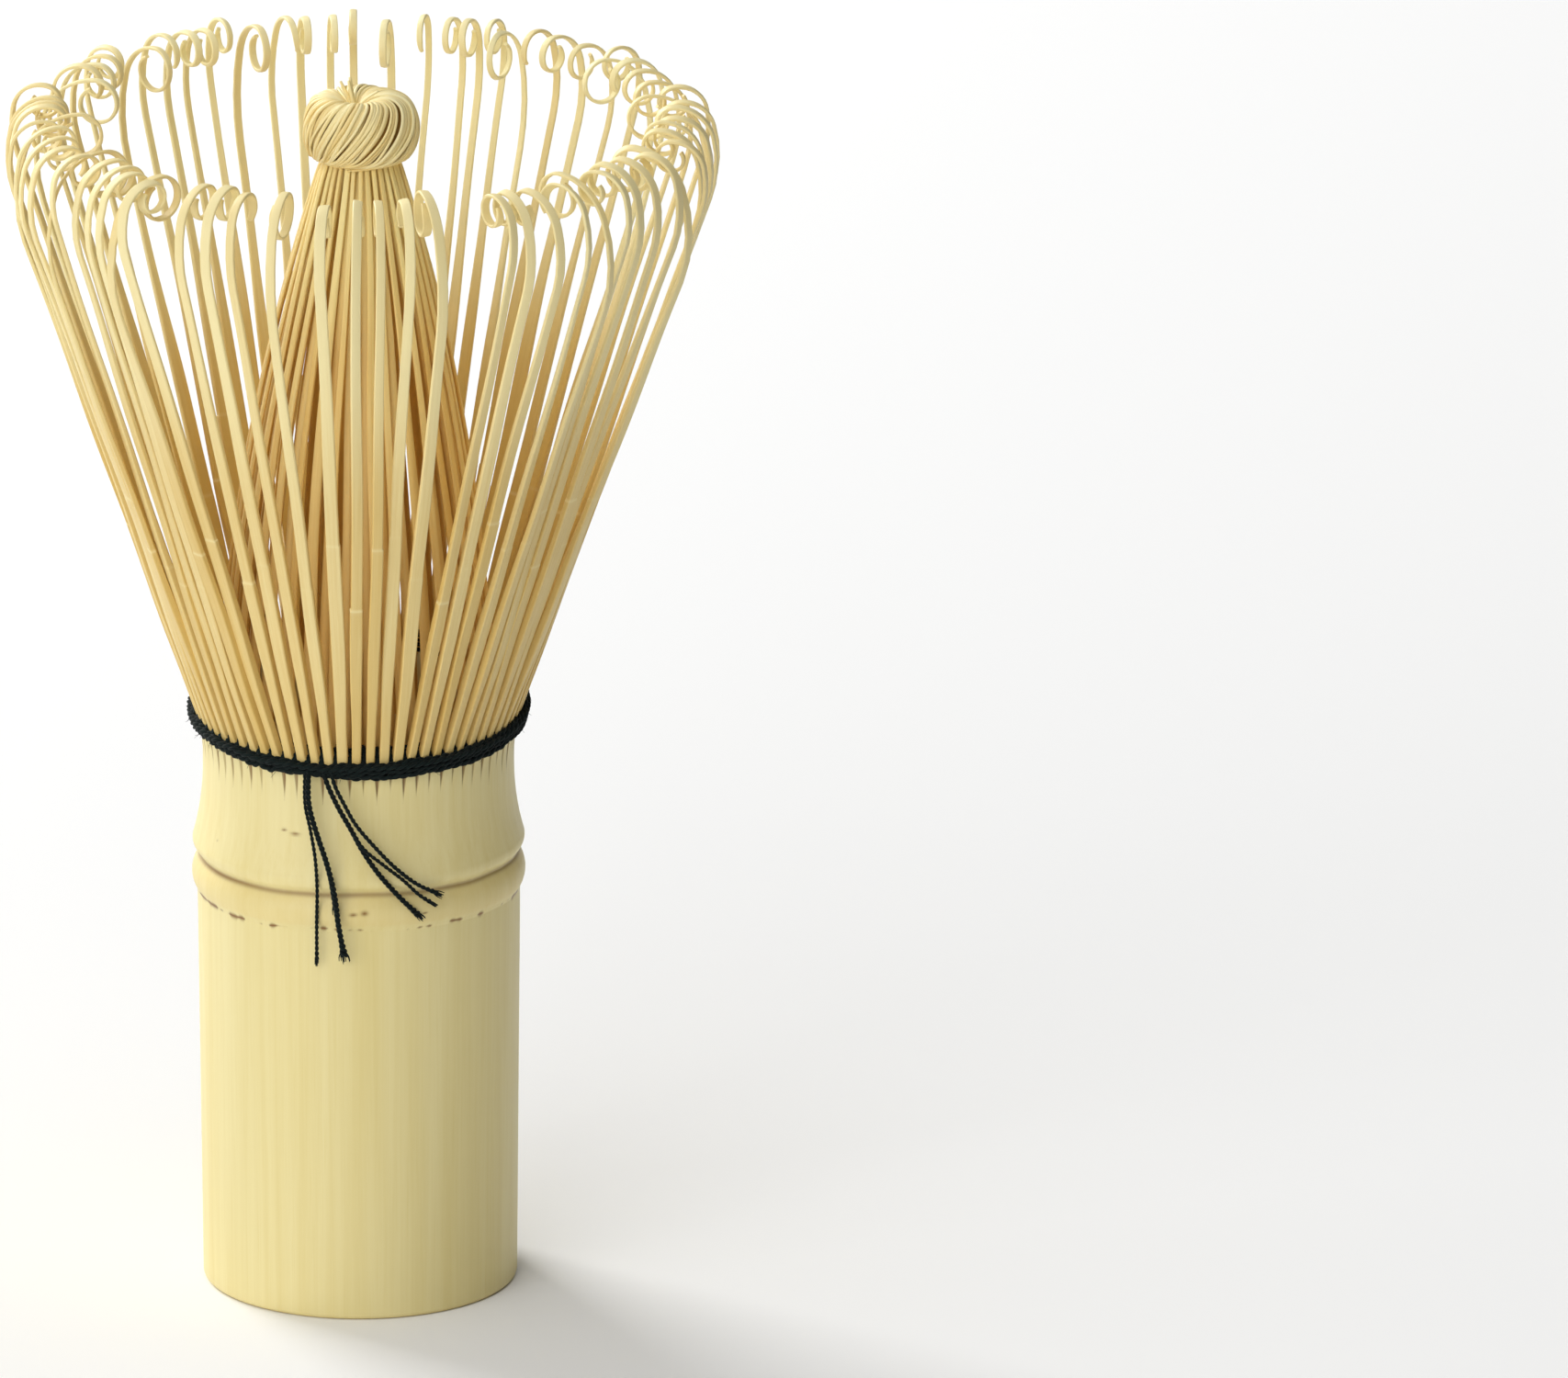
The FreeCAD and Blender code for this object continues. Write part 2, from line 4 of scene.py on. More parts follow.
import bpy
import numpy as np
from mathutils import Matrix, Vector


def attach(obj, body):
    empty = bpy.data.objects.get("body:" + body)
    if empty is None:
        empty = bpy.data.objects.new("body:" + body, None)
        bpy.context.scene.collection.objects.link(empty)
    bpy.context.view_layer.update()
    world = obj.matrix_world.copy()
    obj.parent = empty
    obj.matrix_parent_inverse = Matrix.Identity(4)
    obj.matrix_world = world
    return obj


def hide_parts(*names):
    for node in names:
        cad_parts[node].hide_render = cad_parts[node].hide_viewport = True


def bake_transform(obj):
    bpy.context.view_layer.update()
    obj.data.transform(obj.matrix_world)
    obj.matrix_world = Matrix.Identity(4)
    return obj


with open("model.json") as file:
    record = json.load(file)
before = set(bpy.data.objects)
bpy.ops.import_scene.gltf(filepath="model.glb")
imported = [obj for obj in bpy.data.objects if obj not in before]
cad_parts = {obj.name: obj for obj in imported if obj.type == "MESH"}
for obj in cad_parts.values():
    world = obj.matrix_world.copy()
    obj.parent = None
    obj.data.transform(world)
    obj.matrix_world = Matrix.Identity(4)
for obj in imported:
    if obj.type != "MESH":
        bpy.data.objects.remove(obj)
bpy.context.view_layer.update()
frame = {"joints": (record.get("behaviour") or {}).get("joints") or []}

# A bamboo tea whisk: one culm, whose upper end is split into curled outer tines and into inner
# tines gathered in a knot, with a dark thread around the roots. Shapes are worked out in
# millimetres: +Z is up and -Y is the front, where the thread is tied off.

MM = 0.001
UP = np.array([0.0, 0.0, 1.0])
TINES = 72
PITCH = 2 * math.pi / TINES
SEED = 4
rng = np.random.default_rng(SEED)


def smooth(t):
    t = np.clip(t, 0.0, 1.0)
    return t * t * (3 - 2 * t)


def wander(x, seed, waves=6, lowest=1):
    """A smooth periodic wander of about -1 to 1 over x in radians."""
    own = np.random.default_rng(seed)
    total = np.zeros_like(np.asarray(x, float))
    for wave in range(lowest, lowest + waves):
        total = total + own.uniform(-1, 1) * np.sin(wave * x + own.uniform(0, 2 * math.pi))
    return total / math.sqrt(waves)


def srgb(red, green, blue):
    """A screen colour (0 to 255) as the linear colour that the shaders use."""
    return tuple((c / 255) ** 2.2 for c in (red, green, blue)) + (1.0,)


# ---------------------------------------------------------------- mesh building

class Pile:
    """Points and faces of one piece, gathered strand by strand, with what the shaders read."""

    def __init__(self):
        self.points, self.quads, self.triangles = [], [], []
        self.values = {"grain": [], "tone": [], "flesh": [], "mark": []}
        self.count = 0

    def add(self, points, quads, triangles=None, grain=None, tone=0.5, flesh=0.0, mark=0.0):
        size = len(points)
        if triangles is None:
            triangles = np.zeros((0, 3), int)
        corners = points[np.concatenate([quads[:, [0, 1, 2]], quads[:, [0, 2, 3]], triangles])]
        volume = np.einsum("ij,ij->i", corners[:, 0], np.cross(corners[:, 1], corners[:, 2])).sum()
        if volume < 0:
            quads, triangles = quads[:, ::-1], triangles[:, ::-1]
        self.points.append(points)
        self.quads.append(quads + self.count)
        self.triangles.append(triangles + self.count)
        self.values["grain"].append(points if grain is None else grain)
        for name, value in (("tone", tone), ("flesh", flesh), ("mark", mark)):
            self.values[name].append(np.broadcast_to(np.asarray(value, float), (size,)))
        self.count += size

    def piece(self, name, material, crisp=None):
        points = np.concatenate(self.points) * MM
        quads, triangles = np.concatenate(self.quads), np.concatenate(self.triangles)
        corners = np.concatenate([quads.ravel(), triangles.ravel()])
        sizes = np.concatenate([np.full(len(quads), 4), np.full(len(triangles), 3)])
        mesh = bpy.data.meshes.new(name)
        mesh.vertices.add(len(points))
        mesh.vertices.foreach_set("co", points.astype(np.float32).ravel())
        mesh.loops.add(len(corners))
        mesh.loops.foreach_set("vertex_index", corners.astype(np.int32))
        mesh.polygons.add(len(sizes))
        starts = np.concatenate([[0], np.cumsum(sizes)[:-1]])
        mesh.polygons.foreach_set("loop_start", starts.astype(np.int32))
        mesh.polygons.foreach_set("use_smooth", np.ones(len(sizes), bool))
        for key, parts in self.values.items():
            data = np.concatenate(parts).astype(np.float32)
            kind = "FLOAT_VECTOR" if data.ndim == 2 else "FLOAT"
            attribute = mesh.attributes.new(key, kind, "POINT")
            attribute.data.foreach_set("vector" if data.ndim == 2 else "value", data.ravel())
        mesh.update(calc_edges=True)
        if crisp is not None:
            mesh.set_sharp_from_angle(angle=math.radians(crisp))
        mesh.materials.append(material)
        made = bpy.data.objects.new(name, mesh)
        bpy.context.scene.collection.objects.link(made)
        return made


def ring_quads(count, around):
    """Quads between closed rings of points that lie one after the other."""
    along = np.arange(count - 1)[:, None] * around
    here = np.arange(around)[None]
    then = (here + 1) % around
    quads = [along + here, along + then, along + around + then, along + around + here]
    return np.stack(quads, -1).reshape(-1, 4)


def end_fans(count, around):
    """Triangles that close the first and the last ring."""
    fan = np.arange(1, around - 1)
    first = np.stack([np.zeros_like(fan), fan + 1, fan], -1)
    last = np.stack([np.zeros_like(fan), fan, fan + 1], -1) + (count - 1) * around
    return np.concatenate([first, last])


def sweep(path, across, outward, section):
    """Rings of section points along a path, as points, quads and end triangles."""
    rings = path[:, None] + section[..., :1] * across[:, None] + section[..., 1:] * outward[:, None]
    size = section.shape[:2]
    return rings.reshape(-1, 3), ring_quads(*size), end_fans(*size)


def unit(vectors):
    return vectors / np.linalg.norm(vectors, axis=-1, keepdims=True)


def frames(path, outward):
    """Across and outward directions square to a path, near the directions asked for."""
    along = unit(np.gradient(path, axis=0))
    across = unit(np.cross(along, outward))
    return across, np.cross(across, along)


def turned(across, outward, angle):
    """The two directions after a twist by an angle for each point of the path."""
    cos, sin = np.cos(angle)[:, None], np.sin(angle)[:, None]
    return across * cos + outward * sin, outward * cos - across * sin


def strip_grain(section, run, shift_x, shift_y):
    """Shading positions of a strip: its own section, shifted for each strip, and its length."""
    return np.stack([section[..., 0] + shift_x, section[..., 1] + shift_y,
                     np.repeat(run[:, None], section.shape[1], 1)], -1).reshape(-1, 3)


def round_section(radius, sides, flat=1.0):
    angle = np.arange(sides) * 2 * math.pi / sides
    shape = np.stack([np.cos(angle), np.sin(angle) * flat], -1)
    return np.asarray(radius, float)[:, None, None] * shape


def spline(points, count):
    """A smooth curve through points, with count samples evenly spaced along it."""
    points = np.asarray(points, float)
    padded = np.concatenate([[2 * points[0] - points[1]], points, [2 * points[-1] - points[-2]]])
    fine = []
    for a, b, c, d in zip(padded, padded[1:], padded[2:], padded[3:]):
        t = np.linspace(0, 1, 24, endpoint=False)[:, None]
        fine.append(0.5 * (2 * b + (c - a) * t + (2 * a - 5 * b + 4 * c - d) * t**2
                           + (3 * b - a - 3 * c + d) * t**3))
    fine = np.concatenate(fine + [points[-1:]])
    length = np.concatenate([[0], np.cumsum(np.linalg.norm(np.diff(fine, axis=0), axis=1))])
    at = np.linspace(0, length[-1], count)
    return np.stack([np.interp(at, length, fine[:, i]) for i in range(fine.shape[1])], -1)


# ---------------------------------------------------------------- materials

class Paint:
    """A material around one Principled shader, with short calls for its nodes."""

    def __init__(self, name, **constants):
        self.material = bpy.data.materials.new(name)
        self.material.use_nodes = True
        self.tree = self.material.node_tree
        self.shader = self.tree.nodes["Principled BSDF"]
        for key, value in constants.items():
            self.shader.inputs[key.replace("_", " ")].default_value = value

    def node(self, kind, inputs=None, **settings):
        made = self.tree.nodes.new("ShaderNode" + kind)
        for key, value in settings.items():
            setattr(made, key, value)
        for key, value in (inputs or {}).items():
            if isinstance(value, bpy.types.NodeSocket):
                self.tree.links.new(value, made.inputs[key])
            else:
                made.inputs[key].default_value = value
        return made

    def attribute(self, name, output="Fac"):
        return self.node("Attribute", attribute_name=name).outputs[output]

    def noise(self, vector, stretch, detail=3.0, roughness=0.55):
        """Noise whose cells are stretched along the grain; the answer is about 0 to 1."""
        scaled = self.node("VectorMath", {0: vector, 1: stretch}, operation="MULTIPLY")
        made = self.node("TexNoise", {"Vector": scaled.outputs[0], "Scale": 1.0, "Detail": detail,
                                      "Roughness": roughness})
        return made.outputs["Fac"]

    def fit(self, value, low, high, to_low=0.0, to_high=1.0):
        made = self.node("MapRange", {"Value": value, "From Min": low, "From Max": high,
                                      "To Min": to_low, "To Max": to_high})
        return made.outputs["Result"]

    def sum(self, first, second, operation="ADD"):
        made = self.node("Math", {0: first, 1: second}, operation=operation)
        return made.outputs[0]

    def mix(self, factor, first, second, blend="MIX"):
        made = self.node("Mix", data_type="RGBA", blend_type=blend)
        for socket, value in ((0, factor), (6, first), (7, second)):
            if isinstance(value, bpy.types.NodeSocket):
                self.tree.links.new(value, made.inputs[socket])
            else:
                made.inputs[socket].default_value = value
        return made.outputs[2]

    def link(self, output, name):
        self.tree.links.new(output, self.shader.inputs[name])

    def bump(self, height, strength, distance):
        made = self.node("Bump", {"Height": height, "Strength": strength,
                                  "Distance": distance * MM})
        self.link(made.outputs[0], "Normal")


def bamboo(name, pale, deep, flesh, mark, fibre=2.2, length=0.05, bump=0.25, roughness=0.5):
    """Bamboo: pale to deep along fibre streaks; the flesh colour where it is cut and as painted
    shade; the mark colour for stains and marks, as painted light on the tines and as painted shade
    on the knot's core.
    """
    paint = Paint(name, Specular_IOR_Level=0.35)
    grain = paint.attribute("grain", "Vector")
    broad = paint.noise(grain, (fibre * 0.22, fibre * 0.22, length * 0.6), 2.0)
    streaks = paint.noise(grain, (fibre, fibre, length), 4.0, 0.6)
    fine = paint.noise(grain, (fibre * 5, fibre * 5, length * 5), 3.0, 0.6)
    tone = paint.attribute("tone")
    body = paint.sum(paint.fit(streaks, 0.3, 0.7, 0.0, 0.42), paint.fit(broad, 0.3, 0.7, 0.0, 0.3))
    body = paint.sum(body, paint.fit(tone, 0.0, 1.0, -0.2, 0.35))
    colour = paint.mix(body, pale, deep)
    colour = paint.mix(paint.fit(tone, 0.7, 1.0, 0.0, 0.4), colour, flesh)
    colour = paint.mix(paint.fit(fine, 0.55, 0.75, 0.0, 0.28), colour, deep)
    colour = paint.mix(paint.fit(paint.attribute("flesh"), 0.0, 1.0, 0.0, 1.0), colour, flesh)
    colour = paint.mix(paint.attribute("mark"), colour, mark)
    paint.link(colour, "Base Color")
    paint.link(paint.fit(fine, 0.3, 0.7, roughness - 0.08, roughness + 0.1), "Roughness")
    height = paint.sum(streaks, paint.fit(fine, 0.0, 1.0, 0.0, 0.5))
    paint.bump(height, bump, 0.05)
    return paint.material


def thread(name, dark, light):
    """Dark cotton: fibres along the yarn, with lighter fibres and a matt, sheeny surface."""
    paint = Paint(name, Specular_IOR_Level=0.2, Roughness=0.85, Sheen_Weight=0.06,
                  Sheen_Roughness=0.5)
    grain = paint.attribute("grain", "Vector")
    fibres = paint.noise(grain, (14.0, 14.0, 1.6), 3.0, 0.7)
    colour = paint.mix(paint.fit(fibres, 0.45, 0.75), dark, light)
    colour = paint.mix(paint.fit(paint.attribute("tone"), 0.0, 1.0, 0.0, 0.35), colour, light)
    paint.link(colour, "Base Color")
    paint.bump(fibres, 0.6, 0.06)
    return paint.material


culm_paint = bamboo("culm_bamboo", srgb(241, 227, 168), srgb(227, 207, 133),
                    srgb(228, 200, 128), srgb(124, 78, 24), fibre=1.1, length=0.02, bump=0.12,
                    roughness=0.42)
# The outer tines' pale mark colour is painted light on their upper parts; their flesh colour also
# paints shade near the roots.
blade_paint = bamboo("outer_tine_bamboo", srgb(240, 218, 154), srgb(224, 192, 118),
                     srgb(218, 182, 100), srgb(254, 242, 186), fibre=5.0, length=0.12, bump=0.3)
# The inner tines' pale mark colour is painted light near the knot; their flesh colour also paints
# shade at their foot.
inner_paint = bamboo("inner_tine_bamboo", srgb(252, 228, 158), srgb(240, 202, 122),
                     srgb(232, 188, 102), srgb(255, 236, 164), fibre=6.0, length=0.12, bump=0.35)
# The knot's brown mark colour and its flesh colour paint shade: the core, and strands in the
# creases and under the bun.
knot_paint = bamboo("knot_bamboo", srgb(255, 244, 192), srgb(250, 228, 158),
                    srgb(234, 200, 122), srgb(136, 94, 36), fibre=7.0, length=0.3, bump=0.3)
thread_paint = thread("dark_thread", srgb(7, 17, 17), srgb(26, 44, 41))


# ---------------------------------------------------------------- culm and handle

COLLAR_RADIUS, SLIT_HEIGHT, FLARE_CURVE = 13.55, 47.4, 15.0
FLARE = math.radians(18.7)
ROOT_THICKNESS = 0.72
BAND_HEIGHT, BAND_DROP, HINGE_RISE = 51.6, 1.3, 1.15


def culm_radius(height):
    """Outer radius of the split zone: an arc from the collar, then the straight flare."""
    bend = FLARE_CURVE * math.sin(FLARE)
    rise = np.clip(height - SLIT_HEIGHT, 0.0, bend)
    straight = np.maximum(height - SLIT_HEIGHT - bend, 0.0)
    radius = COLLAR_RADIUS + FLARE_CURVE - np.sqrt(FLARE_CURVE**2 - rise**2)
    return radius + straight * math.tan(FLARE)


def band_height(azimuth):
    return BAND_HEIGHT + BAND_DROP * np.sin(azimuth)


def arc(start, end, radius, side, count):
    """Points from start to end on a circle, bulging to the right (1) or left (-1) of the way."""
    start, end = np.array(start), np.array(end)
    half = np.linalg.norm(end - start) / 2
    along = (end - start) / (2 * half)
    right = np.array([along[1], -along[0]]) * side
    centre = (start + end) / 2 - right * math.sqrt(radius**2 - half**2)
    first, last = start - centre, end - centre
    turn = math.atan2(first[0] * last[1] - first[1] * last[0], first @ last)
    angles = math.atan2(first[1], first[0]) + turn * np.linspace(0, 1, count + 1)[1:]
    return [tuple(centre + radius * np.array([math.cos(a), math.sin(a)])) for a in angles]


def handle_outline():
    """Radius and height up the outside of the handle, from the bottom bevel to the slits."""
    outline = [(13.7, 0.45), (14.05, 35.55), (14.12, 35.72), (14.2, 35.95)]
    outline += arc((14.2, 35.95), (14.17, 38.4), 2.4, 1, 14)
    outline += [(14.0, 38.72), (13.9, 38.9), (13.95, 39.1), (14.1, 39.32)]
    outline += arc((14.1, 39.32), (14.36, 40.6), 1.1, 1, 10)
    outline += arc((14.36, 40.6), (COLLAR_RADIUS, 46.8), 24.1, -1, 12)
    outline.append((COLLAR_RADIUS, SLIT_HEIGHT))
    return np.array(outline)


# Small brown marks on the skin: azimuth (degrees), level, width and height of each.
SKIN_MARKS = [
    (-91.3, 37.25, 0.6, 0.3), (-87.4, 37.35, 0.56, 0.4), (-113.0, 44.2, 0.8, 0.26),
    (-117.5, 44.45, 0.45, 0.2), (-150.0, 41.9, 0.25, 0.12), (-66.0, 37.1, 0.4, 0.14),
    (64.0, 37.3, 0.6, 0.2), (121.0, 44.6, 0.5, 0.12), (171.0, 37.0, 0.45, 0.2),
]
SKIN_RADIUS = 14             # where those widths are measured
BORE_RADIUS = 10.9
SEPTUM_LOW, SEPTUM_HIGH, SEPTUM_DISH = 36.9, 39.4, 0.6
SCAR_HEIGHT, GROOVE_HEIGHT, GROOVE_WIDTH = 35.72, 38.88, 0.24
COLUMNS = 8                  # mesh columns for each tine's share of the culm
SLIT_COLUMN = 0              # the column in the slit, between the two on its edges
EDGE_COLUMNS = (1, 7)
FIRST_BEYOND = 5             # the columns from here on are nearer to the next slit
SLIT_OPEN_FOOT = 0.025       # half-width of a slit at its pointed foot
SLIT_ROWS, SLIT_ROWS_START = 14, 47.2


def septum_dish(radius):
    """How far a face of the septum is hollowed or raised at a radius."""
    return SEPTUM_DISH * (radius / BORE_RADIUS) ** 2


def make_culm():
    outline = handle_outline()
    columns = TINES * COLUMNS
    tooth = np.repeat(np.arange(TINES), COLUMNS)
    share = np.tile(np.arange(COLUMNS), TINES)
    middle = tooth * PITCH
    plain = middle + (share - COLUMNS // 2) * PITCH / COLUMNS
    slit_foot = SLIT_HEIGHT + np.abs(rng.normal(0.45, 0.5, TINES)).clip(0.0, 1.6)
    slit_full = rng.uniform(0.08, 0.17, TINES)
    slit_darkness = rng.uniform(0.45, 1.0, TINES)

    def azimuths(height):
        """Where each column stands: two hug each slit's edges, which part above its foot."""
        before = slit_foot[tooth]
        after = slit_foot[(tooth + 1) % TINES]
        full_after = slit_full[(tooth + 1) % TINES]
        open_before = SLIT_OPEN_FOOT + slit_full[tooth] * smooth((height - before) / 2.2)
        open_after = SLIT_OPEN_FOOT + full_after * smooth((height - after) / 2.2)
        half = PITCH / 2
        edge_before, edge_after = open_before / COLLAR_RADIUS, open_after / COLLAR_RADIUS
        places = np.stack([
            np.full(columns, -half), -half + edge_before, -half + edge_before + 0.006,
            np.full(columns, -half * 0.4), np.full(columns, 0.0), np.full(columns, half * 0.4),
            half - edge_after - 0.006, half - edge_after,
        ])
        return middle + places[share, np.arange(columns)]

    rows = []

    def row(radius, height, at=None, flesh=0.0, mark=0.0):
        azimuth = plain if at is None else at
        full = np.ones(columns)
        rows.append((radius * full, height * full, azimuth, flesh * full, mark * full))

    # the septum's lower face, the hollow below it and the cut end
    for radius in (1.0, 4.0, 7.0, 9.4, 10.4):
        row(radius, SEPTUM_LOW - septum_dish(radius), flesh=0.8)
    row(10.75, 36.15, flesh=0.8)
    bore = BORE_RADIUS + 0.12 * wander(plain, 3)
    for height in (35.7, 30.0, 22.0, 14.0, 7.0, 3.0, 0.9, 0.3):
        row(bore, height, flesh=0.75)
    row(bore + 0.06, 0.07, flesh=0.9)
    row(bore + 0.2, 0.0, flesh=0.95)
    row(12.3, 0.0, flesh=0.9)
    row(13.24, 0.0, flesh=0.8)
    row(13.46, 0.06, flesh=0.5)
    row(13.63, 0.2, flesh=0.15)

    # the skin, closely spaced where the ring, the scar and the groove are
    heights = np.concatenate([
        np.linspace(0.45, 34.4, 20), np.linspace(34.6, 36.6, 26), np.linspace(36.7, 38.4, 14),
        np.linspace(38.48, 39.4, 16), np.linspace(39.5, 41.0, 11), np.linspace(41.15, 47.0, 35),
    ])
    swell = 0.05 * np.sin(2 * plain + 0.6) + 0.03 * wander(plain, 11, 5)
    scar_line = SCAR_HEIGHT + 0.16 * wander(plain, 21, 9) + 0.05 * wander(plain, 22, 30, 20)
    dashes = wander(plain, 23, 26, 8) + 0.7 * wander(plain, 24, 40, 50)
    dashes = dashes + 0.9 * smooth((-np.cos(plain) - 0.55) / 0.4) - 0.15
    scar_width = 0.07 + 0.17 * smooth((dashes - 0.1) / 0.9)
    scar_depth = smooth((dashes + 0.05) / 0.5)
    groove_tone = 0.66 + 0.2 * wander(plain, 31, 8) - 0.12 * np.cos(plain)
    for height in heights:
        window = smooth((height - 33.5) / 2.0) * smooth((43.0 - height) / 2.5)
        lift = window * (0.16 * np.sin(plain + 2.2) + 0.1 * wander(plain, 5, 5)
                         + 0.03 * wander(plain, 6, 14, 8))
        radius = np.interp(height, outline[:, 1], outline[:, 0]) + swell * (1 - 0.6 * window)
        radius = radius + 0.035 * window * wander(plain, 7, 12, 3)
        mark = 0.95 * scar_depth * np.exp(-((height - scar_line) / scar_width) ** 2)
        mark = mark + groove_tone * np.exp(-((height - GROOVE_HEIGHT) / GROOVE_WIDTH) ** 2)
        for azimuth, level, wide, high in SKIN_MARKS:
            apart = (plain - math.radians(azimuth) + math.pi) % (2 * math.pi) - math.pi
            spot = (apart * SKIN_RADIUS / (wide / 2)) ** 2 + ((height - level) / (high / 2)) ** 2
            mark = np.maximum(mark, 0.95 * np.exp(-spot))
        ripe = 0.3 * smooth((height - 35.8) / 0.6) * smooth((39.0 - height) / 0.6)
        row(radius, height + lift, flesh=ripe, mark=mark.clip(0, 1))

    # the slits, up to the thread
    nearest = np.where(share >= FIRST_BEYOND, (tooth + 1) % TINES, tooth)
    centre, edge = share == SLIT_COLUMN, np.isin(share, EDGE_COLUMNS)
    reach = band_height(plain) - 0.1 - SLIT_ROWS_START
    for step in range(SLIT_ROWS + 1):
        raw = SLIT_ROWS_START + reach * step / SLIT_ROWS
        at = azimuths(raw)
        over = raw - slit_foot[nearest]
        depth = np.where(centre, 0.22 * smooth(over / 0.9), 0.0)
        radius = culm_radius(raw) + swell * smooth((49.0 - raw) / 2.0) - depth
        # The slits and the columns on their edges are painted dark brown, most in the sunk middle
        # column.
        slit_dark = np.where(centre, 0.95 * smooth((over + 0.7) / 0.9),
                         np.where(edge, 0.6 * smooth((over + 0.3) / 1.2), 0.0))
        row(radius, raw, at, mark=slit_dark * slit_darkness[nearest])

    # the cut inside, down to the septum's upper face
    at = azimuths(band_height(plain))
    inner = culm_radius(band_height(plain)) - ROOT_THICKNESS
    row(inner, band_height(plain) - 0.1, at, flesh=0.9)
    row(COLLAR_RADIUS - ROOT_THICKNESS, 47.9, at, flesh=0.9)
    row(12.4, 47.7, flesh=0.9)
    row(BORE_RADIUS, 47.7, flesh=0.9)
    row(BORE_RADIUS, 44.0, flesh=0.8)
    row(BORE_RADIUS, 40.2, flesh=0.8)
    for radius in (10.2, 7.0, 4.0, 1.0):
        row(radius, SEPTUM_HIGH + septum_dish(radius), flesh=0.8)

    radius, height, azimuth, flesh, mark = (np.stack(part) for part in zip(*rows))
    points = np.stack([radius * np.cos(azimuth), radius * np.sin(azimuth), height], -1)
    points = points.reshape(-1, 3)
    low, high = len(points), len(points) + 1
    points = np.concatenate([points, [[0, 0, SEPTUM_LOW], [0, 0, SEPTUM_HIGH]]])
    here = np.arange(columns)
    then = (here + 1) % columns
    end = (len(rows) - 1) * columns
    triangles = np.concatenate([
        np.stack([np.full(columns, low), then, here], -1),
        np.stack([np.full(columns, high), end + here, end + then], -1),
    ])
    pile = Pile()
    pile.add(points, ring_quads(len(rows), columns), triangles, tone=0.35,
             flesh=np.append(flesh.ravel(), [0.8, 0.8]), mark=np.append(mark.ravel(), [0, 0]))
    culm = pile.piece("culm", culm_paint)
    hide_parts("handle_culm")
    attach(culm, "root")


make_culm()


# ---------------------------------------------------------------- outer tines

# Radius and turn (degrees) of the shoulder, the hook and the two turns of the curl.
CURLS = {
    "round": [(9.5, 34.0), (3.5, 78.0), (1.45, 180.0), (1.15, 130.0)],
    "tight": [(8.0, 30.0), (2.7, 92.0), (1.3, 180.0), (1.05, 120.0)],
    "wide": [(12.0, 40.0), (5.0, 68.0), (1.9, 190.0), (1.5, 150.0)],
    "open": [(9.5, 36.0), (2.9, 80.0), (1.6, 100.0), (1.3, 30.0)],
}
RIM_HEIGHT, RIM_DIP, RIM_REACH = 106.6, 0.45, 30.0
TICK_LOW, TICK_HIGH = 66.5, 74.5      # where the sides of each tine were shaved down
ROOT_TUCK = 0.35                      # how far below the middle of the thread a blade starts

# Degrees that single front tines lean besides, which opens the gaps beside the front ones.
FRONT_LEANS = {
    44: -1.0, 45: -1.5, 46: -2.2, 47: -3.0, 48: -3.0, 49: -4.0, 50: 1.8,
    53: 2.5, 54: 2.3, 55: 0.6, 56: 0.6, 57: -0.5, 58: -2.5,
}


# Where the few front tines that do not part end, and how the ones beside them do (degrees).
FRONT_EDGE_RIGHT, FRONT_EDGE_LEFT = 13.0, 3.0
PARTING, PARTING_START, PARTING_FADE = 8.0, 5.0, 95.0


def front_parting(azimuth):
    """How far, in degrees, the tines beside the few front ones lean away from them."""
    from_front = (math.degrees(azimuth) + 270.0) % 360.0 - 180.0
    past_edge = abs(from_front) - (FRONT_EDGE_RIGHT if from_front > 0 else FRONT_EDGE_LEFT)
    fade = max(1.0 - max(past_edge, 0.0) / PARTING_FADE, 0.0)
    lean = PARTING * float(smooth(past_edge / PARTING_START)) * fade
    return math.copysign(lean, from_front)


def tine_layout(k):
    """Azimuth of the root, plane, flare and curl of tine k."""
    azimuth = k * PITCH
    lean = 0.95 * math.sin(13 * azimuth) + 0.75 * math.sin(7 * azimuth + 1.0)
    lean = lean + {2: 0.5, 3: -0.5}.get(k % 4, 0.0) + FRONT_LEANS.get(k + 1, 0.0)
    lean = math.radians(lean + front_parting(azimuth))
    foot = float(culm_radius(band_height(azimuth)))
    plane = azimuth + math.atan2(RIM_REACH * math.sin(lean), RIM_REACH * math.cos(lean) - foot)
    curl = list(CURLS)[(k * 7 + k // 5) % len(CURLS)]
    flare = 18.7 + 0.6 * math.sin(11 * azimuth + 0.4) + 0.6 * math.cos(azimuth)
    flare += 0.7 * math.cos(azimuth) ** 2
    flare += 1.0 if curl == "wide" else 0.0
    return azimuth, plane, math.radians(flare), curl


